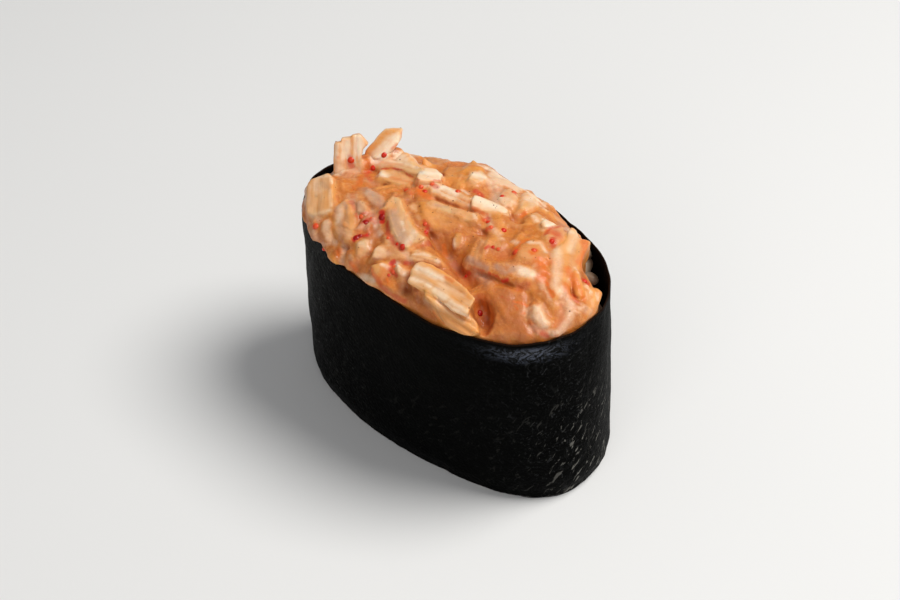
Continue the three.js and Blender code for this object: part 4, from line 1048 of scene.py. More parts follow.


# marks on the pieces and in the dressing: a path through the picture, its width in px, strength, and what it is. r is
# the red skin of the crab stick or roe lying deeper, a orange, w bare and white, g golden, d brown painted shade in
# hollows and under overhangs, partly thicker dressing, p darker painted shade, l greyish where a piece shows through
MARKS = [
    # red
    ([(382, 169), (392, 168), (403, 170)], 2.2, 0.75, "r"), ([(403, 170), (407, 174), (412, 177), (419, 180)], 2.4, 0.6, "r"), ([(368, 162), (384, 163), (400, 166)], 8, 0.18, "r"), ([(434, 180), (442, 181)], 2.4, 0.6, "r"),
    ([(372, 168), (366, 176)], 4, 0.6, "r"), ([(356, 214), (358, 220), (362, 214), (367, 213)], 3, 0.55, "r"), ([(363, 222), (369, 220)], 7, 0.7, "r"), ([(382, 213), (383, 222)], 6, 1.0, "r"),
    ([(387, 224), (389, 236), (395, 243), (402, 248)], 6, 0.65, "r"), ([(354, 240), (359, 236), (367, 235)], 5.5, 1.0, "r"), ([(352, 202), (354, 209)], 5, 0.4, "r"),
    ([(432, 184), (436, 187)], 6, 0.6, "r"), ([(424, 221), (428, 226), (426, 234)], 5.5, 0.75, "r"), ([(391, 264), (394, 262)], 4, 0.9, "r"), ([(391, 270), (396, 275)], 6, 0.75, "r"),
    ([(406, 263), (413, 263)], 4.5, 0.6, "r"), ([(424, 245), (430, 243)], 6, 0.35, "r"), ([(371, 270), (376, 278), (382, 287), (392, 295), (404, 301)], 6, 0.45, "r"),
    ([(484, 221), (488, 219)], 5, 0.6, "r"), ([(487, 229), (491, 227)], 6, 0.65, "r"), ([(486, 248), (489, 245.5), (492, 248)], 2.2, 0.7, "r"), ([(495, 249), (500, 248)], 2.4, 0.7, "r"),
    ([(546, 234), (550, 229), (561, 226)], 5, 0.6, "r"), ([(553, 238), (553, 245)], 8, 0.75, "r"), ([(556, 233)], 15, 0.5, "r"), ([(501, 196), (505, 196)], 3, 0.75, "r"),
    ([(513, 190), (517, 196)], 3.5, 0.75, "r"), ([(476, 191), (482, 196)], 6, 0.7, "r"), ([(465, 278), (470, 273)], 5, 0.65, "r"), ([(471, 278)], 12, 0.2, "r"), ([(469, 266), (475, 268), (484, 271)], 2, 0.4, "r"),
    ([(489, 273), (497, 276), (502, 280), (507, 280)], 2.4, 0.7, "r"), ([(503, 281), (507, 280)], 5, 0.95, "r"), ([(502, 297), (508, 300)], 3, 0.35, "r"), ([(520, 288), (526, 284)], 9, 0.3, "r"),
    ([(542, 334), (548, 336)], 6, 0.55, "r"), ([(573, 296), (577, 302)], 6, 0.45, "r"), ([(583, 280), (587, 283)], 5, 0.7, "r"), ([(321, 249), (323, 254)], 4, 0.9, "r"), ([(316, 226)], 6.5, 0.75, "r"),
    ([(350, 157), (352, 166)], 6, 0.6, "r"), ([(366, 165), (372, 162), (380, 163)], 9, 0.25, "r"), ([(360, 228), (366, 231)], 14, 0.22, "r"), ([(455, 264), (460, 274)], 8, 0.2, "r"), ([(510, 252), (500, 258)], 12, 0.18, "r"),
    # orange
    ([(417, 186), (421, 193), (428, 197)], 9, 0.8, "a"), ([(354, 187), (353, 196)], 6, 0.45, "a"), ([(361, 177), (359, 184)], 7, 0.6, "a"), ([(514, 256), (517, 248)], 8, 1.0, "a"), ([(532, 252), (536, 250)], 8, 0.9, "a"),
    ([(519, 246), (524, 241), (527, 240)], 5, 0.7, "a"), ([(522, 217), (525, 213)], 5, 0.75, "a"), ([(515, 302), (521, 303), (527, 306)], 4, 0.7, "a"), ([(515, 306), (517, 309)], 4, 0.6, "a"), ([(524, 313)], 5, 0.7, "a"),
    ([(568, 270), (573, 279), (577, 286)], 10, 0.7, "a"), ([(566, 284), (571, 296)], 9, 0.55, "a"), ([(582, 292), (584, 299)], 6, 0.6, "a"), ([(434, 313), (438, 318), (443, 323)], 5, 0.6, "a"), ([(339, 250), (339, 255)], 5, 0.7, "a"),
    ([(351, 264), (356, 270)], 7, 0.7, "a"), ([(585, 243), (586, 250), (581, 264)], 11, 0.75, "a"), ([(387, 279), (388, 282)], 4, 0.8, "a"), ([(446, 180), (462, 184), (474, 180)], 13, 0.6, "g"), ([(472, 207), (480, 212), (487, 214)], 4.5, 0.75, "a"),
    ([(470, 200), (471, 206)], 3, 0.6, "a"), ([(536, 262), (548, 262)], 10, 0.5, "a"), ([(552, 292), (554, 296)], 4, 0.8, "a"), ([(545, 268), (545, 279), (549, 289), (553, 297)], 3.4, 0.9, "a"), ([(530, 322), (534, 330), (546, 333)], 7, 0.5, "a"),
    ([(561, 305), (562, 318), (556, 326)], 6, 0.4, "a"), ([(392, 149), (397, 145)], 4, 0.75, "a"), ([(386, 284), (384, 276), (388, 270)], 12, 0.35, "a"), ([(398, 181), (415, 184)], 8, 0.3, "a"), ([(560, 222), (576, 224)], 6, 0.2, "a"),
    ([(446, 277), (452, 281)], 5, 0.6, "a"), ([(412, 244), (418, 246)], 6, 0.45, "a"), ([(444, 246), (446, 256)], 5, 0.45, "a"), ([(466, 165), (472, 166)], 6, 0.45, "a"), ([(498, 190), (506, 193)], 7, 0.35, "a"),
    # golden
    ([(365, 155), (375, 145), (384, 135), (396, 130)], 11, 0.95, "g"), ([(404, 152), (411, 159)], 8, 0.9, "g"), ([(396, 152), (402, 151)], 6, 0.2, "w"), ([(423, 163), (432, 166)], 9, 0.5, "g"), ([(420, 265), (434, 268), (446, 278), (458, 287), (470, 298)], 5.5, 0.75, "g"),
    ([(431, 281), (437, 286)], 7, 0.75, "g"), ([(452, 291), (462, 300)], 9, 0.6, "g"), ([(424, 292), (434, 300), (444, 306)], 8, 0.6, "g"), ([(445, 308), (452, 318), (462, 326), (474, 331)], 11, 0.7, "g"), ([(566, 238), (567, 262), (565, 282)], 9, 0.6, "g"), ([(580, 242), (577, 256)], 8, 0.5, "g"),
    ([(576, 272), (582, 284), (583, 293)], 7, 0.75, "g"), ([(590, 288), (596, 293), (594, 300)], 11, 0.9, "g"), ([(592, 303), (589, 310)], 7, 0.6, "g"), ([(326, 193), (327, 206)], 8, 0.55, "g"), ([(351, 214), (351, 228)], 6, 0.5, "g"), ([(340, 142), (339, 162)], 3.6, 0.8, "g"), ([(334, 144), (335, 152)], 3, 0.4, "g"), ([(342, 139), (350, 138)], 3, 0.4, "g"), ([(338, 157)], 4.5, 0.5, "a"),
    ([(352.5, 137), (352, 162)], 4, 0.85, "g"), ([(363, 139), (366, 145)], 3, 0.5, "g"), ([(334, 160), (345, 163), (360, 160)], 8, 0.3, "g"), ([(457, 234), (457, 240)], 8, 0.7, "g"), ([(500, 231), (492, 242)], 14, 0.55, "g"), ([(488, 212), (498, 216), (500, 224)], 12, 0.5, "g"), ([(520, 222), (530, 223)], 12, 0.5, "g"), ([(490, 182), (499, 190), (496, 202)], 15, 0.5, "w"), ([(527, 203), (523, 209)], 6, 0.6, "g"), ([(540, 208), (550, 214), (562, 222)], 14, 0.8, "g"), ([(536, 203), (546, 210)], 5, 0.4, "w"), ([(490, 262), (491, 272)], 3, 0.55, "g"),
    ([(477, 168), (480, 169)], 6, 0.6, "g"), ([(388, 200), (393, 208)], 9, 0.45, "g"), ([(402, 206), (400, 216)], 4, 0.35, "g"), ([(521, 281), (530, 279)], 5, 0.5, "g"), ([(540, 263), (546, 259)], 6, 0.5, "g"), ([(372, 261), (385, 262)], 3.5, 0.6, "g"),
    ([(430, 258), (437, 257)], 6, 0.45, "g"), ([(424, 207), (432, 213), (444, 219)], 10, 0.35, "g"), ([(530, 290), (536, 284)], 9, 0.3, "g"), ([(343, 184), (346, 188)], 9, 0.35, "g"), ([(554, 259), (555, 264)], 4, 0.4, "g"), ([(550, 231), (560, 238)], 8, 0.35, "a"), ([(366, 172), (370, 180)], 8, 0.35, "r"), ([(340, 163), (350, 168)], 8, 0.35, "d"), ([(486, 226), (490, 234)], 8, 0.4, "g"), ([(580, 238), (586, 240)], 6, 0.35, "g"),
    # white
    ([(375, 160), (384, 154), (392, 147), (397, 139)], 12, 1.0, "w"), ([(380, 148), (388, 140), (396, 133)], 3, 0.3, "w"), ([(336, 144), (336, 172)], 4.5, 0.35, "l"), ([(345, 140), (346, 154)], 6, 0.45, "w"), ([(336, 161), (346, 167), (358, 166)], 9, 0.5, "g"), ([(346, 162), (355, 170)], 9, 0.3, "a"), ([(359, 137), (359, 152)], 9, 0.95, "w"), ([(394, 154), (404, 156)], 8, 0.5, "w"), ([(388, 150), (398, 148), (408, 151)], 4, 0.8, "g"), ([(422, 173), (440, 174)], 10, 0.9, "w"),
    ([(380, 173), (385, 176)], 9, 0.95, "w"), ([(392, 178), (404, 181), (414, 183)], 6, 0.45, "a"), ([(386, 161), (404, 163), (418, 168)], 5, 0.4, "w"), ([(436, 188), (446, 187), (456, 194)], 6, 0.8, "w"), ([(463, 191), (467, 194)], 5, 0.6, "w"), ([(474, 214), (476, 218)], 5, 0.6, "w"),
    ([(475, 197), (485, 203), (494, 206)], 10, 0.85, "w"), ([(472, 174), (484, 177)], 8, 0.9, "w"), ([(486, 168), (497, 172), (500, 177)], 9, 0.8, "w"), ([(480, 166), (490, 168)], 7, 0.5, "w"), ([(502, 177), (515, 184), (528, 192), (538, 200), (545, 206)], 5, 0.8, "w"), ([(534, 196), (528, 200)], 8, 0.6, "w"),
    ([(508, 199), (515, 203)], 8, 0.4, "w"), ([(544, 219), (547, 225), (553, 225)], 6, 1.0, "w"), ([(534, 216), (537, 221)], 6, 0.55, "w"), ([(572, 225), (577, 228), (575, 238), (570, 250)], 10, 0.4, "w"), ([(584, 238), (590, 240)], 4, 0.6, "w"),
    ([(557, 250), (557, 266), (555, 286)], 11, 0.35, "w"), ([(539, 260), (545, 276)], 12, 0.75, "a"), ([(562, 304), (564, 318)], 12, 0.3, "w"), ([(582, 308), (590, 311)], 8, 0.3, "w"), ([(566, 229), (573, 233)], 9, 0.6, "w"), ([(406, 254), (412, 262)], 8, 0.35, "w"), ([(328, 239), (336, 243)], 8, 0.4, "w"), ([(343, 228), (344, 234)], 6, 0.4, "l"), ([(440, 284), (452, 290), (462, 296)], 8, 0.3, "w"), ([(446, 309), (456, 316), (464, 322)], 6, 0.25, "w"), ([(446, 306), (456, 318), (466, 324)], 13, 0.8, "g"), ([(438, 302), (450, 308)], 6, 0.4, "w"), ([(526, 311), (534, 318)], 12, 0.35, "w"), ([(532, 328), (546, 333), (560, 332)], 10, 0.55, "w"), ([(488, 216), (492, 228), (502, 238)], 8, 0.35, "w"), ([(470, 205), (474, 207)], 6, 0.35, "w"), ([(521, 270), (532, 274)], 11, 0.8, "w"), ([(541, 280), (543, 288)], 6, 0.3, "w"), ([(545, 290), (552, 301)], 3, 0.3, "w"), ([(530, 242), (540, 243), (546, 252)], 7, 0.55, "w"), ([(513, 241), (517, 243)], 6, 0.4, "w"),
    ([(562, 292), (570, 303), (569, 320), (560, 332)], 14, 0.42, "w"), ([(539, 308), (541, 316), (545, 324)], 15, 0.45, "w"), ([(578, 272), (575, 268)], 4, 0.5, "w"), ([(587, 286), (590, 292)], 5, 0.6, "w"), ([(597, 294), (598, 300)], 4, 0.4, "w"), ([(593, 292), (592, 304)], 10, 0.6, "g"),
    ([(418, 268), (428, 272), (436, 276), (442, 279)], 8, 0.95, "w"), ([(412, 279), (424, 282), (430, 286)], 6, 0.8, "w"), ([(436, 290), (445, 297)], 9, 0.75, "w"), ([(450, 302), (466, 311)], 5, 0.6, "w"), ([(442, 303), (454, 309), (468, 317)], 5, 0.7, "w"),
    ([(378, 249), (388, 253), (376, 256)], 8, 0.3, "w"), ([(360, 242), (366, 247)], 7, 0.3, "w"), ([(397, 264), (400, 270), (404, 273)], 6, 0.7, "w"), ([(382, 264), (388, 268)], 4.5, 0.75, "w"), ([(414, 254), (424, 254), (430, 256)], 4, 0.6, "w"), ([(437, 260), (439, 262)], 4, 0.5, "w"),
    ([(331, 179), (332, 183)], 4, 0.75, "w"), ([(315, 182), (316, 190)], 6, 0.45, "w"), ([(312, 215), (322, 213), (331, 210)], 6, 0.25, "w"), ([(317, 180), (318, 192)], 8, 0.4, "w"), ([(338, 173), (348, 176), (358, 173)], 10, 0.15, "w"), ([(306, 186), (305, 204)], 7, 0.6, "w"), ([(352, 196), (358, 210)], 12, 0.25, "w"), ([(372, 212), (377, 226)], 12, 0.3, "w"), ([(345, 246), (343, 260)], 10, 0.3, "w"), ([(308, 214), (318, 220)], 9, 0.35, "w"), ([(420, 166), (432, 170)], 6, 0.3, "w"), ([(309, 186), (309, 204)], 5, 0.3, "w"), ([(312, 178), (330, 176)], 5, 0.6, "w"), ([(330, 190), (331, 206)], 4, 0.3, "w"), ([(337, 208), (341, 222), (340, 236)], 10, 0.5, "l"), ([(336, 182), (345, 192)], 12, 0.25, "d"), ([(326, 222), (328, 236)], 8, 0.3, "w"), ([(314, 232), (318, 242)], 8, 0.25, "w"), ([(327, 211), (330, 210)], 4, 0.4, "w"), ([(339, 205), (341, 212), (338, 222)], 6, 0.35, "w"), ([(322, 245), (330, 243)], 5, 0.35, "w"),
    ([(362, 278), (374, 280)], 7, 0.45, "w"), ([(454, 240), (454, 247)], 5, 0.55, "w"), ([(402, 222), (404, 230)], 4, 0.6, "w"), ([(414, 232), (410, 242)], 9, 0.5, "w"), ([(355, 176), (358, 168)], 6, 0.3, "w"), ([(380, 226), (381, 234)], 6, 0.3, "w"), ([(324, 226), (326, 234)], 6, 0.25, "w"),
    # greyish, where a piece shows through
    ([(366, 189), (376, 197), (381, 205)], 15, 0.7, "l"), ([(339, 226), (341, 234)], 9, 0.6, "l"), ([(345, 203), (346, 208)], 6, 0.6, "l"), ([(393, 212), (397, 226), (404, 240)], 15, 0.7, "l"), ([(468, 259), (480, 264), (487, 268)], 9, 0.75, "l"),
    ([(496, 266), (506, 272), (514, 270)], 9, 0.75, "l"), ([(374, 222), (378, 236)], 9, 0.5, "l"), ([(350, 256), (351, 263)], 5, 0.5, "l"), ([(360, 204), (363, 212)], 8, 0.5, "l"), ([(541, 321), (545, 327)], 6, 0.5, "l"), ([(450, 258), (456, 268)], 9, 0.45, "l"),
    ([(400, 289), (412, 296), (430, 306)], 9, 0.5, "d"), ([(425, 300), (432, 306)], 10, 0.35, "l"), ([(435, 205), (446, 207)], 6, 0.5, "l"), ([(460, 201), (468, 205)], 6, 0.4, "l"), ([(398, 234), (392, 226)], 7, 0.3, "l"), ([(402, 285), (400, 292)], 8, 0.4, "l"),
    ([(552, 254), (553, 272)], 4, 0.4, "l"), ([(310, 230), (314, 240)], 7, 0.4, "l"), ([(340, 266), (345, 268)], 5, 0.4, "l"), ([(322, 182), (326, 187)], 7, 0.4, "l"),
    # painted shade: brown in hollows, valleys and under overhangs, partly thicker dressing
    ([(406, 196), (412, 202), (417, 196)], 10, 0.55, "d"), ([(433, 232), (436, 244), (440, 250)], 13, 0.7, "d"), ([(409, 210), (413, 214)], 5, 0.55, "d"), ([(446, 240), (447, 256)], 6, 0.4, "d"), ([(406, 287), (414, 290)], 8, 0.6, "d"), ([(337, 256), (341, 261)], 6, 0.7, "d"),
    ([(346, 243), (348, 252)], 10, 0.3, "d"), ([(352, 267), (357, 272)], 6, 0.5, "d"), ([(480, 300), (486, 308), (486, 322)], 13, 0.8, "d"), ([(487, 303), (489, 312), (488, 324)], 4.5, 0.75, "p"), ([(478, 308), (480, 318)], 8, 0.25, "p"), ([(482, 300), (484, 322)], 14, 0.35, "a"), ([(491, 304), (500, 313), (505, 322)], 5, 0.45, "d"), ([(508, 312), (518, 325), (522, 333)], 18, 0.4, "d"), ([(505, 300), (515, 306)], 18, 0.4, "d"), ([(500, 332), (512, 338)], 10, 0.3, "g"), ([(366, 234), (374, 243)], 11, 0.55, "d"), ([(356, 204), (364, 209)], 12, 0.45, "d"), ([(448, 256), (456, 268)], 12, 0.45, "d"), ([(398, 287), (410, 296)], 11, 0.6, "d"), ([(496, 322), (486, 330)], 8, 0.35, "d"), ([(320, 193), (320, 208)], 4, 0.25, "g"), ([(333, 200), (334, 210)], 4, 0.35, "d"),
    ([(398, 186), (386, 184)], 9, 0.35, "d"), ([(362, 214), (372, 222)], 14, 0.6, "d"), ([(368, 213), (376, 220)], 9, 0.3, "r"), ([(405, 189), (411, 192)], 8, 0.35, "r"), ([(583, 274), (585, 281)], 7, 0.6, "d"), ([(471, 309), (474, 318), (481, 327)], 9, 0.8, "d"), ([(472, 310), (475, 318), (481, 326)], 7, 0.3, "p"), ([(358, 216), (366, 226), (376, 230)], 16, 0.6, "d"), ([(366, 204), (376, 208)], 10, 0.4, "d"), ([(412, 214), (418, 222)], 8, 0.35, "d"), ([(446, 221), (458, 223)], 8, 0.3, "d"), ([(366, 180), (374, 184)], 10, 0.3, "l"), ([(350, 260), (353, 266)], 7, 0.35, "d"), ([(438, 312), (442, 320)], 7, 0.4, "d"), ([(538, 278), (546, 280)], 8, 0.5, "a"), ([(432, 252), (440, 262)], 8, 0.3, "d"), ([(335, 251), (337, 258)], 8, 0.8, "d"), ([(430, 243), (434, 249)], 9, 0.7, "d"), ([(420, 206), (421, 212)], 4, 0.5, "d"), ([(402, 276), (408, 277)], 5, 0.45, "d"), ([(470, 224), (480, 226)], 8, 0.25, "d"), ([(476, 272), (488, 282)], 15, 0.5, "l"), ([(522, 226), (512, 222)], 12, 0.2, "d"), ([(530, 236), (540, 232)], 8, 0.2, "d"),
    ([(503, 288), (514, 284)], 10, 0.25, "d"), ([(545, 305), (546, 311)], 5, 0.4, "d"), ([(420, 240), (424, 250)], 6, 0.3, "d"), ([(446, 318), (440, 312)], 6, 0.35, "d"), ([(374, 284), (380, 288)], 5, 0.2, "d"),
]
KINDS = {"p": "painted_deep_shade", "r": "red", "a": "amber", "w": "bare", "g": "gold", "d": "painted_shade", "l": "milky"}
_paths = {}


def stains(field, v):
    """strength of each kind of mark at the points v"""
    out = {name: np.zeros(len(v)) for name in KINDS.values()}
    for n_mark, (path, width, power, kind) in enumerate(MARKS):
        if n_mark not in _paths:
            px = []
            for a, b in zip(path[:-1], path[1:]):
                n = max(2, int(math.hypot(b[0] - a[0], b[1] - a[1]) / 1.8))
                px += [(a[0] + (b[0] - a[0]) * i / n, a[1] + (b[1] - a[1]) * i / n) for i in range(n)]
            px.append(path[-1])
            _paths[n_mark] = [p for p in (find_surface(field, x, y) for x, y in px) if p is not None]
        pts = _paths[n_mark]
        if not pts:
            continue
        pts = np.array(pts)
        r = width / 2 / 6.2
        near = np.where((v > pts.min(0) - 2 * r - 0.3).all(1) & (v < pts.max(0) + 2 * r + 0.3).all(1))[0]
        if not len(near):
            continue
        d = np.full(len(near), 9.0)
        for q in pts:
            d = np.minimum(d, np.linalg.norm(v[near] - q, axis=1))
        d = d + (0.12 + 0.16 * r) * noise(v[near], 0.9, 71) + 0.05 * noise(v[near], 0.4, 72)
        soft = 0.35 if kind in "ra" else 0.0
        s = power * (1 - smooth(r * soft, r * 1.35, d))
        tgt = out[KINDS[kind]]
        tgt[near] = np.maximum(tgt[near], s)
    return out


H = 0.21
LO = np.array([-29.4, -18.4, 25.6])
N = (281, 177, 87)


def build_fields():
    ax = [LO[k] + H * np.arange(N[k]) for k in range(3)]
    X, Y = np.meshgrid(ax[0], ax[1], indexing="ij")
    # distance to the rim's outline, and the angle there
    tp = np.linspace(0, TAU, 1080, endpoint=False)
    ox, oy = outline(tp, 1.0)
    P = np.stack([X.ravel(), Y.ravel()], 1)
    D = np.empty(len(P)); Tn = np.empty(len(P))
    for a in range(0, len(P), 8000):
        b = P[a:a + 8000]
        d2 = (b[:, 0:1] - ox) ** 2 + (b[:, 1:2] - oy) ** 2
        i = np.argmin(d2, 1)
        D[a:a + 8000] = np.sqrt(d2[np.arange(len(b)), i])
        Tn[a:a + 8000] = tp[i]
    _, rho = inverse(X, Y)
    D = D.reshape(X.shape) * np.where(rho < 1, -1, 1)
    Tn = Tn.reshape(X.shape)
    XY = np.stack([X, Y], -1)
    h = mound(X, Y) + 0.14 + 0.26 * noise(XY, 3.6, 31) + 0.14 * noise(XY, 1.7, 32)
    gx, gy = np.gradient(h, H)
    slope = np.sqrt(1 + np.minimum(gx ** 2 + gy ** 2, 4.0))
    Z = ax[2][None, None, :]
    top = (Z - h[..., None]) / slope[..., None]
    base = D + SHEET + CLEAR + slack(Tn, 1.0) + pull(Tn)
    over = hang(Tn) + SHEET + CLEAR
    zr = rim_height(Tn)
    side = base[..., None] - np.where(hang(Tn) > 0.08, over, 0.0)[..., None] * smooth(0.15, 0.55, Z - zr[..., None])
    side = side + (0.22 * noise(np.stack([Tn * 22, rho * 0], -1), 1.7, 33))[..., None]
    phi = smax(top, side, 0.9).astype(np.float32)
    # crab stick
    crab = np.full(N, 3.0, np.float32)
    coated = np.full(N, 3.0, np.float32)
    tone = np.zeros(N, np.float32)
    edge = np.ones(N, np.float32)
    for pc in PIECES:
        rad = math.sqrt(pc["U"] ** 2 + pc["V"] ** 2 + (pc["T"] / 2) ** 2) + 1.6
        a = np.maximum(np.floor((pc["c"] - rad - LO) / H).astype(int), 0)
        b = np.minimum(np.ceil((pc["c"] + rad - LO) / H).astype(int) + 1, N)
        if (b <= a).any():
            continue
        g = np.stack(np.meshgrid(*[ax[k][a[k]:b[k]] for k in range(3)], indexing="ij"), -1)
        d, q, mark = piece_sdf(pc, g)
        sl = tuple(slice(a[k], b[k]) for k in range(3))
        closer = d < crab[sl]
        tone[sl] = np.where(closer, pc["tone"], tone[sl])
        edge[sl] = np.where(closer, mark, edge[sl])
        crab[sl] = np.minimum(crab[sl], d)
        coat = -0.26 + 0.52 * pc["coat"] + 0.13 * noise(g, 2.1, 34) + 0.06 * noise(g, 0.8, 35)
        coat = coat + 0.42 * smooth(1.3, 0.1, phi[sl])
        coated[sl] = smin(coated[sl], d - coat, 0.6)
    return ax, phi, crab, coated, tone, edge, Tn, rho


def stroke(phi, ax, pts, radius, k, sign):
    """adds (sign 1) or cuts (sign -1) a rounded line through points"""
    pts = np.asarray(pts, float)
    lo, hi = pts.min(0) - radius - 1.6, pts.max(0) + radius + 1.6
    a = np.maximum(np.floor((lo - LO) / H).astype(int), 0)
    b = np.minimum(np.ceil((hi - LO) / H).astype(int) + 1, N)
    sl = tuple(slice(a[i], b[i]) for i in range(3))
    g = np.stack(np.meshgrid(*[ax[i][a[i]:b[i]] for i in range(3)], indexing="ij"), -1)
    d = np.full(g.shape[:3], 9.0)
    for p, q in zip(pts[:-1], pts[1:]):
        pq = q - p
        s = np.clip(((g - p) @ pq) / max(pq @ pq, 1e-9), 0, 1)
        d = np.minimum(d, np.linalg.norm(g - p - s[..., None] * pq, axis=-1))
    d = d - radius
    phi[sl] = smin(phi[sl], d, k) if sign > 0 else smax(phi[sl], -d, k)


def make_salad():
    lay_out_pieces()
    ax, body, crab, coated, tone, edge, Tn, rho = build_fields()
    # folds where the dressing lies thick over something, and the furrows between
    for pts, r, k, sign, dz in (
        ([(538, 274), (542, 288), (548, 299), (555, 307)], 0.32, 0.6, 1, 0.2),
        ([(562, 288), (569, 304), (568, 318), (556, 333)], 0.8, 0.9, 1, 0.1),
        ([(483, 208), (500, 222), (520, 226), (542, 236)], 0.5, 0.9, 1, 0.1),
        ([(432, 234), (446, 250), (460, 270), (472, 290)], 0.8, 1.2, -1, 0.35),
        ([(432, 237), (438, 246)], 0.7, 1.0, -1, 0.1), ([(407, 197), (415, 199)], 0.7, 0.7, -1, 0.2), ([(408, 289), (418, 292)], 0.6, 0.7, -1, 0.2),
        ([(336, 254), (341, 261)], 0.6, 0.6, -1, 0.1), ([(350, 265), (356, 270)], 0.5, 0.6, -1, 0.1), ([(346, 242), (348, 254)], 0.6, 0.8, -1, 0.2),
        ([(398, 187), (386, 185)], 0.5, 0.8, -1, 0.2), ([(372, 212), (374, 226)], 0.5, 0.8, -1, 0.2),
        ([(546, 267), (546, 280), (549, 290), (554, 298)], 0.3, 0.35, -1, 0.05), ([(569, 272), (570, 288), (575, 302)], 0.45, 0.6, -1, 0.15),
        ([(527, 292), (530, 304), (529, 318), (534, 330)], 0.4, 0.7, -1, 0.2),
        ([(478, 273), (498, 282), (520, 288)], 0.35, 0.6, -1, 0.15), ([(505, 216), (520, 222)], 0.6, 1.0, -1, 0.3), ([(520, 203), (519, 209)], 0.3, 0.5, -1, 0.1),
        ([(490, 289), (499, 305), (508, 320)], 0.25, 0.6, 1, 0.0), ([(345, 166), (348, 176)], 1.0, 1.0, 1, 0.1), ([(384, 160), (394, 159)], 0.9, 0.9, 1, 0.5), ([(388, 156), (397, 154)], 1.1, 0.9, 1, 1.6), ([(362, 166), (370, 162)], 1.2, 0.9, 1, 1.4), ([(448, 222), (470, 228), (486, 234)], 0.5, 0.9, -1, 0.2),
        ([(432, 314), (440, 320), (450, 328)], 0.5, 0.7, -1, 0.1), ([(574, 232), (590, 243)], 0.3, 0.5, -1, -0.3),
    ):
        p = [cast(*q, dz=dz) for q in pts]
        stroke(body, ax, p, r, k, sign)
    # the deep hollow beside the big chunk
    down = np.array([-0.15, 0.25, -1.0]); down /= np.linalg.norm(down)
    dress = smin(body, coated, 0.75)
    for px, py, r0, deep in ((481, 304, 0.8, 0.4), (482, 311, 1.1, 1.0), (484, 318, 1.1, 1.2), (483, 325, 0.8, 0.4), (487, 314, 0.5, 1.6)):
        c = cast(px, py, 0.2)
        stroke(dress, ax, [c - down * 1.6, c + down * 0.6, c + down * deep], r0, 1.2, -1)
    # it stands back from the band at the far right and behind the left end
    rim = [(t, outline(math.radians(t), 1.0)) for t in range(60, 87, 3)]
    stroke(dress, ax, [(float(o[0]) * 0.975, float(o[1]) * 0.96, float(rim_height(math.radians(t))) + 0.5) for t, o in rim], 1.35, 0.5, -1)
    stroke(dress, ax, [cast(315, 173, 0.3), cast(323, 169, 0.3), cast(331, 165, 0.3)], 1.3, 0.5, -1)
    # thin film where it is nearly bare would leave specks: lift it clear of the faces
    near = np.argwhere(np.abs(dress) < 0.9)
    pts = (LO + H * near).astype(np.float32)
    dress[near[:, 0], near[:, 1], near[:, 2]] += 0.075 * noise(pts, 1.15, 36) + 0.045 * noise(pts, 0.6, 37)
    bottom = 26.3 - ax[2][None, None, :]
    dress = np.maximum(dress, bottom).astype(np.float32)
    every = np.minimum(dress, crab)
    v, q = surface_nets(dress, LO, H)
    g = gradient(dress, LO, H, v)
    v = v - g * sample(dress, LO, H, v)[:, None] * 0.9
    v = keep_inside(v, gap=0.03, over=0.5)

    # the flat underside is one face instead of thousands
    fz = v[q][..., 2].max(1)
    under = fz < 26.46
    q = q[~under]
    edges = np.concatenate([q[:, [0, 1]], q[:, [1, 2]], q[:, [2, 3]], q[:, [3, 0]]])
    key = np.sort(edges, 1)
    _, first, cnt = np.unique(key, axis=0, return_index=True, return_counts=True)
    border = edges[first[cnt == 1]]
    used = np.unique(q)
    remap = np.full(len(v), -1)
    remap[used] = np.arange(len(used))
    v, q, g = v[used], remap[q], g[used]
    border = remap[border]
    nxt = {int(b): int(a) for a, b in border}
    faces = q.tolist()
    seen = set()
    for s in list(nxt):
        if s in seen:
            continue
        loop, c0 = [], s
        while c0 not in seen and c0 in nxt:
            seen.add(c0); loop.append(c0); c0 = nxt[c0]
        if len(loop) > 2:
            faces.append(loop)

    def crest(p, n):
        """how convex the surface is: 0 flat or hollow, 1 a thin ridge"""
        return 0.5 * sum(1 - np.clip(-sample(every, LO, H, p - n * s) / s, 0, 1) for s in (0.45, 1.0))

    def open_air(p, n):
        o = 0
        for s, wgt in ((0.5, 0.25), (1.1, 0.4), (2.2, 0.35)):
            o = o + wgt * np.clip(sample(every, LO, H, p + n * s) / s, 0, 1)
        return o

    thick = np.clip(sample(crab, LO, H, v), 0, 3)
    ob = new_mesh("dressing", v, faces, {
        "thick": thick, "open": open_air(v, g), "crest": crest(v, g), "tone": sample(tone, LO, H, v), "edge": sample(edge, LO, H, v), **stains(every, v),
    }, stands_for=("salad",))
    ob.data.materials.append(dressing_material())

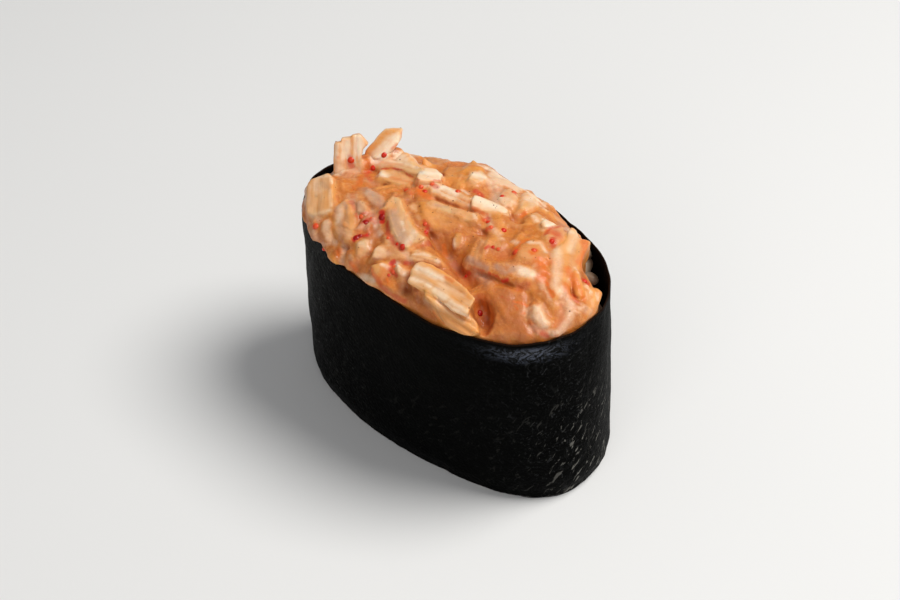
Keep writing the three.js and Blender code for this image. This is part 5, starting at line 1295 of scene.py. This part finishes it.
    # the pieces themselves, each a closed solid
    vs, fs, at = [], [], {k: [] for k in ("film", "open", "crest", "tone", "edge", "rnd", "band")}
    fib = []
    total = 0
    for pc in PIECES:
        if not pc["show"]:
            continue
        h = 0.22
        half = np.array([pc["U"] + pc["ragged"] * bool(pc["strands"]) + 0.6, pc["V"] + 0.6, pc["T"] / 2 + 0.6 + abs(pc["bend"]) * pc["U"] ** 2])
        nn = np.ceil(2 * half / h).astype(int) + 2
        lo = -half - h
        g3 = np.stack(np.meshgrid(*[lo[i] + h * np.arange(nn[i]) for i in range(3)], indexing="ij"), -1)
        world = g3 @ pc["R"] + pc["c"]
        d = piece_sdf(pc, world)[0]
        d = d.astype(np.float32)
        pv, pq = surface_nets(d, lo, h)
        gg = gradient(d, lo, h, pv, 0.12)
        pv = pv - gg * sample(d, lo, h, pv)[:, None] * 0.9
        wv = pv @ pc["R"] + pc["c"]
        wv = keep_inside(wv, over=0.6)
        gw = gg @ pc["R"]
        film = np.clip(sample(dress, LO, H, wv), -1, 1.5)
        vs.append(wv); fs.append(pq + total); total += len(wv)
        at["film"].append(film); at["open"].append(open_air(wv, gw)); at["crest"].append(crest(wv, gw))
        at["tone"].append(np.full(len(wv), pc["tone"])); at["edge"].append(piece_sdf(pc, pv @ pc["R"] + pc["c"])[2])
        at["band"].append(np.full(len(wv), pc["red"]))
        at["rnd"].append(np.full(len(wv), (pc["seed"] * 0.618) % 1))
        fib.append(pv + pc["seed"] * 7.3)
    at = {k: np.concatenate(x) for k, x in at.items()}
    at.update(stains(every, np.concatenate(vs)))
    ob = new_mesh("crab_shreds", np.concatenate(vs), np.concatenate(fs), at, {"fib": np.concatenate(fib)},
                  ("salad",))
    ob.data.materials.append(crab_material())
    print("dressing quads", len(q), "crab quads", len(ob.data.polygons), "pieces", len(PIECES))
    return dress, every


SAUCE_LIT, SAUCE_WARM, SAUCE_PINK, SAUCE_PALE = srgb(196, 114, 56), srgb(202, 116, 44), srgb(188, 108, 66), srgb(234, 168, 106)
# the deep and pit sauce colours serve also as painted shade in furrows and hollows
SAUCE_THICK_AND_SHADE, SAUCE_HOLLOW_SHADE, SAUCE_GOLD = srgb(160, 68, 16), srgb(116, 42, 8), srgb(224, 146, 66)
CRAB_WHITE, CRAB_CREAM, CRAB_TAN, CRAB_YELLOW, CRAB_SIDE = srgb(244, 212, 178), srgb(234, 184, 134), srgb(220, 154, 96), srgb(228, 150, 70), srgb(220, 126, 48)
BARE, MILKY, SHADE_BROWN, AMBER, CRAB_RED = srgb(250, 226, 198), srgb(184, 144, 124), srgb(150, 78, 36), srgb(222, 104, 28), srgb(198, 44, 24)


def marked(m, base, vary):
    """the marks of stains() over a colour; vary is a fine noise that makes them patchy"""
    wob = m.ramp(vary, 0.3, 0.62, 0.7, 1.0)
    base = m.mix(m.math("MULTIPLY", m.attr("milky"), wob), base, MILKY)
    # painted shade: brown and darker brown marks in hollows and under overhangs
    base = m.mix(m.math("MULTIPLY", m.attr("painted_shade"), wob), base, SHADE_BROWN)
    base = m.mix(m.attr("painted_deep_shade"), base, srgb(96, 34, 8))
    base = m.mix(m.math("MULTIPLY", m.attr("gold"), wob), base, srgb(232, 156, 78))
    base = m.mix(m.math("MULTIPLY", m.attr("bare"), wob), base, BARE)
    base = m.mix(m.math("MULTIPLY", m.attr("amber"), wob), base, AMBER)
    return m.mix(m.attr("red"), base, CRAB_RED)


def piece_colour(m, n2, n1):
    """pale in the middle of a face, more yellow towards its edges and in the grooves, and darker orange on its sides,
    partly from dressing and partly painted shade
    """
    tone = m.math("ADD", m.attr("tone"), m.math("MULTIPLY", m.math("SUBTRACT", n1, 0.5), 1.1))
    edge = m.math("ADD", m.attr("edge"), m.math("MULTIPLY", m.math("SUBTRACT", n2, 0.5), 1.0))
    base = m.mix(m.ramp(tone, -0.7, -0.1), srgb(255, 244, 232), CRAB_WHITE)
    base = m.mix(m.ramp(tone, 0.0, 0.4), base, CRAB_CREAM)
    base = m.mix(m.ramp(tone, 0.3, 0.75), base, CRAB_TAN)
    base = m.mix(m.ramp(tone, 0.7, 1.05), base, CRAB_YELLOW)
    base = m.mix(m.ramp(edge, 0.15, 0.75, 0.0, 0.8), base, CRAB_YELLOW)
    # painted shade, partly dressing: the sides turn darker orange
    return m.mix(m.ramp(edge, 0.7, 1.15, 0.0, 0.7), base, CRAB_SIDE)


def dressing_material():
    m = Nodes("dressing")
    p = m.pos()
    n1, n2, n3 = m.noise(0.22, p, 3), m.noise(0.75, p, 3), m.noise(1.9, p, 3, 0.6, 0.6)
    base = m.mix(m.ramp(n1, 0.42, 0.58), SAUCE_LIT, SAUCE_WARM)
    base = m.mix(m.ramp(n2, 0.48, 0.66, 0.0, 0.4), base, SAUCE_PINK)
    base = m.mix(m.ramp(m.attr("crest"), 0.15, 0.7, 0.0, 0.5), base, SAUCE_PALE)
    n4 = m.noise(1.15, p, 3, 0.55, 0.8)
    lean = m.ramp(m.attr("thick"), 0.3, 1.5, 1.0, 0.25)
    base = m.mix(m.math("MULTIPLY", m.ramp(n4, 0.50, 0.66, 0.0, 0.40), lean), base, SAUCE_PALE)
    base = m.mix(m.math("MULTIPLY", m.ramp(n4, 0.48, 0.34, 0.0, 0.45), lean), base, SAUCE_GOLD)
    base = m.mix(m.ramp(n3, 0.54, 0.72, 0.0, 0.16), base, SAUCE_PALE)
    base = m.mix(m.ramp(n3, 0.46, 0.28, 0.0, 0.20), base, SAUCE_THICK_AND_SHADE)
    # thin over a piece it lets the piece through
    thick = m.math("ADD", m.attr("thick"), m.math("MULTIPLY", m.math("SUBTRACT", n2, 0.5), 0.35))
    base = m.mix(m.ramp(thick, 0.0, 0.62, 0.8, 0.0), base, piece_colour(m, n2, n1))
    # painted shade: darker and redder deep in the furrows, partly thicker dressing there
    base = m.mix(m.ramp(m.attr("open"), 0.30, 0.88, 0.75, 0.0), base, SAUCE_THICK_AND_SHADE)
    base = marked(m, base, n3)
    # painted shade: darkest in the most hemmed-in hollows
    base = m.mix(m.ramp(m.attr("open"), 0.05, 0.32, 0.5, 0.0), base, SAUCE_HOLLOW_SHADE)
    h = m.math("ADD", m.math("MULTIPLY", m.noise(0.8, p, 3), 0.8), m.math("MULTIPLY", n3, 0.5))
    rough = m.ramp(n2, 0.3, 0.7, 0.42, 0.54, "LINEAR")
    return m.set(color=base, rough=rough, spec=0.25, coat=0.15, coat_rough=0.07, sss=0.28, radius=(1.0, 0.5, 0.25), sss_scale=0.0007, normal=m.bump(h, 0.00026, 0.7))


def crab_material():
    m = Nodes("crab_stick")
    p = m.pos()
    fib = m.attr("fib", True)
    strands = m.noise(1.0, m.scaled(fib, (0.22, 2.6, 2.6)), 4, 0.6)
    n1, n2, n3 = m.noise(0.22, p, 3), m.noise(0.75, p, 3), m.noise(1.9, p, 3, 0.6, 0.6)
    base = piece_colour(m, n2, n1)
    base = m.mix(m.math("MULTIPLY", m.ramp(strands, 0.5, 0.7), 0.3), base, CRAB_CREAM)
    # a film of dressing near where it goes under
    film = m.ramp(m.math("ADD", m.attr("film"), m.math("MULTIPLY", m.math("SUBTRACT", n2, 0.5), 0.35)), 0.0, 0.22, 1.0, 0.0)
    base = m.mix(m.math("MULTIPLY", film, 0.3), base, SAUCE_PALE)
    # painted shade: darker orange where the surface is hemmed in, partly dressing pooled there
    base = m.mix(m.ramp(m.attr("open"), 0.28, 0.82, 0.5, 0.0), base, srgb(186, 100, 36))
    base = marked(m, base, n3)
    base = m.mix(m.math("MULTIPLY", m.math("MULTIPLY", m.attr("band"), m.ramp(m.noise(0.6, m.scaled(fib, (0.35, 1.6, 1.6)), 3), 0.55, 0.66)), 0.4), base, srgb(214, 96, 70))
    h = m.math("ADD", strands, m.math("MULTIPLY", m.noise(2.6, p, 2), 0.3))
    return m.set(color=base, rough=0.46, spec=0.25, coat=0.15, coat_rough=0.08, sss=0.4, radius=(1.0, 0.72, 0.45), sss_scale=0.0010, normal=m.bump(h, 0.00011, 0.7))


# =====================================================================
# 4. roe and pepper
# =====================================================================
def find_surface(field, px, py, dz=0.0):
    d = ray(px, py)
    ts = np.linspace((46 - CAM[2]) / d[2], (25 - CAM[2]) / d[2], 700)
    p = CAM + d * ts[:, None]
    s = sample(field, LO, H, p)
    inside = ((p > LO) & (p < LO + H * (np.array(N) - 1))).all(1)
    hit = (s < dz) & inside
    if not hit.any():
        return None
    return p[int(np.argmax(hit))]


def make_roe(every):
    rs = np.random.RandomState(23)
    seen = [(351, 160, 1.1), (384, 155, .95), (373, 168, .9), (406, 190, .8), (421, 187, .8), (425, 191, .75), (432, 184, .8), (458, 191, .8), (366, 222, 1.0),
            (382, 217, 1.15), (361, 217, .9), (356, 238, 1.0), (360, 236, .7), (316, 226, .95), (323, 249, .5), (402, 247, .9), (397, 244, .6), (394, 267, .85), (393, 272, .8),
            (425, 224, .7), (504, 230, .85), (488, 222, .9), (491, 227, .7), (485, 220, .6), (493, 247, .6), (498, 249, .6), (515, 252, 1.0), (534, 250, .85), (552, 241, .75),
            (480, 313, 1.0), (585, 281, .8), (466, 276, .6), (514, 192, .8), (502, 196, .7), (479, 194, .6), (388, 238, .6), (426, 232, .6), (389, 275, .6), (371, 218, .5)]
    sv, sf = icosphere(2)
    vs, fs, cen = [], [], []

    def put(c, r):
        k = sum(len(a) for a in vs)
        p = sv * r * np.array([1, 1, 0.94]) * (1 + 0.03 * noise(sv * 2 + c, 0.9, 3)[:, None])
        vs.append(p + c); fs.append(sf + k); cen.append(np.full(len(sv), rs.rand()))

    for px, py, dia in seen:
        s = find_surface(every, px, py)
        if s is None:
            continue
        n = gradient(every, LO, H, s[None], 0.3)[0]
        r = dia / 2 * 1.3
        put(s - n * r * 0.58, r)
        # painted shade: the roe that lie in shadow get the darkest red
        if min(math.hypot(px - a, py - b) for a, b in ((382, 218), (479, 313), (357, 237), (365, 222))) < 4.5:
            cen[-1][:] = 1.0
        else:
            cen[-1][:] *= 0.68
    # and elsewhere on the heap
    k = 0
    for _ in range(600):
        if k >= 24:
            break
        t, r0 = rs.uniform(0, TAU), rs.uniform(0.1, 0.82)
        ox, oy = outline(t, 1.0)
        x, y = float(ox) * r0, float(oy) * r0
        if y < 8.5 and not (x < -20 and y > 0):
            continue
        zz = np.linspace(43, 26, 300)
        col = sample(every, LO, H, np.stack([np.full(300, x), np.full(300, y), zz], 1))
        if not (col < 0).any():
            continue
        s = np.array([x, y, zz[int(np.argmax(col < 0))]])
        n = gradient(every, LO, H, s[None], 0.3)[0]
        if n @ (CAM - s) > -0.22 * np.linalg.norm(CAM - s) or s[2] > float(mound(x, y)) + 1.3:
            continue
        r = rs.uniform(0.36, 0.56)
        put(s - n * r * rs.uniform(0.1, 0.7), r); k += 1
    ob = new_mesh("roe", np.concatenate(vs), np.concatenate(fs), {"rnd": np.concatenate(cen)}, stands_for=("salad",))
    m = Nodes("roe")
    p = m.pos()
    base = m.mix(m.ramp(m.attr("rnd"), 0.0, 0.55), srgb(226, 94, 46), srgb(208, 44, 16))
    # the darkest red is painted shade on the roe that lie in shadow
    base = m.mix(m.ramp(m.attr("rnd"), 0.55, 1.0), base, srgb(158, 12, 4))
    ob.data.materials.append(m.set(color=base, rough=0.30, spec=0.28, sss=0.4, radius=(1.0, 0.25, 0.1), sss_scale=0.0006, coat=0.15, coat_rough=0.10,
                                   normal=m.bump(m.noise(3.0, p, 2), 0.00005, 0.4)))


def make_pepper(every):
    rs = np.random.RandomState(29)
    sv, sf = icosphere(1)
    vs, fs = [], []
    k = 0
    for _ in range(3000):
        if k >= 120:
            break
        t, r0 = rs.uniform(0, TAU), rs.uniform(0.0, 0.96)
        ox, oy = outline(t, 1.0)
        x, y = float(ox) * r0, float(oy) * r0
        zz = np.linspace(43, 26, 400)
        col = sample(every, LO, H, np.stack([np.full(400, x), np.full(400, y), zz], 1))
        if not (col < 0).any():
            continue
        s = np.array([x, y, zz[int(np.argmax(col < 0))]])
        r = rs.choice([0.06, 0.08, 0.11], p=[0.55, 0.33, 0.12])
        p = sv * r * rs.uniform(0.6, 1.3, 3) * (1 + 0.35 * rs.uniform(-1, 1, (len(sv), 1)))
        p = p @ basis(rs.uniform(0, 360), rs.uniform(0, 360), rs.uniform(0, 360))
        fs.append(sf + k * len(sv)); vs.append(p + s); k += 1
    ob = new_mesh("pepper", np.concatenate(vs), np.concatenate(fs), stands_for=("salad",))
    m = Nodes("pepper")
    base = m.mix(m.ramp(m.noise(1.3, m.pos(), 2), 0.4, 0.6), srgb(104, 56, 24), srgb(150, 84, 36))
    ob.data.materials.append(m.set(color=base, rough=0.6, normal=m.bump(m.noise(9.0, m.pos(), 2), 0.00003, 0.5)))


# =====================================================================
# light, floor, camera
# =====================================================================
def make_stage():
    sc = bpy.context.scene
    cam = bpy.data.cameras.new("camera")
    cam.sensor_fit = "HORIZONTAL"
    cam.sensor_width = 36.0
    cam.lens = FOCAL * 36.0 / 900.0
    cam.clip_start, cam.clip_end = 0.01, 10
    co = bpy.data.objects.new("camera", cam)
    sc.collection.objects.link(co)
    from mathutils import Matrix, Vector
    loc = (CAM - CENTRE) / 1000
    co.matrix_world = Matrix(((_r[0], _u[0], -_f[0], loc[0]), (_r[1], _u[1], -_f[1], loc[1]), (_r[2], _u[2], -_f[2], loc[2]), (0, 0, 0, 1)))
    sc.camera = co

    me = bpy.data.meshes.new("floor")
    s = 2.5
    me.from_pydata([(-s, -s, 0), (s, -s, 0), (s, s, 0), (-s, s, 0)], [], [(0, 1, 2, 3)])
    fl = bpy.data.objects.new("floor", me)
    sc.collection.objects.link(fl)
    m = Nodes("floor")
    fl.data.materials.append(m.set(color=m.mix(m.noise(0.01, m.pos(), 2), (0.78, 0.78, 0.78), (0.80, 0.80, 0.80)), rough=0.8, spec=0.2))

    right = np.array([_r[0], _r[1], 0]); back = np.array([-_r[1], _r[0], 0])

    def area(name, at, size, power, colour=(1, 1, 1), aim=(0, 0, 0.025)):
        li = bpy.data.lights.new(name, "AREA")
        li.shape = "DISK"
        li.size = size
        li.energy = power
        li.color = colour
        o = bpy.data.objects.new(name, li)
        o.location = at
        o.rotation_euler = (Vector(aim) - Vector(at)).to_track_quat("-Z", "Y").to_euler()
        sc.collection.objects.link(o)

    area("key", tuple(right * 0.31 + back * 0.02 + np.array([0, 0, 0.56])), 0.36, 3.8, (1.0, 0.985, 0.95))
    area("fill", tuple(-right * 0.14 - back * 0.55 + np.array([0, 0, 0.40])), 0.6, 1.35, (1.0, 0.99, 0.97))
    w = bpy.data.worlds.new("studio")
    w.use_nodes = True
    w.node_tree.nodes["Background"].inputs["Color"].default_value = (0.95, 0.97, 1.0, 1)
    w.node_tree.nodes["Background"].inputs["Strength"].default_value = 0.20
    sc.world = w
    sc.view_settings.view_transform = "Standard"
    sc.view_settings.look = "None"


make_stage()
make_nori()
make_rice()
dress, every = make_salad()
make_roe(every)
make_pepper(every)
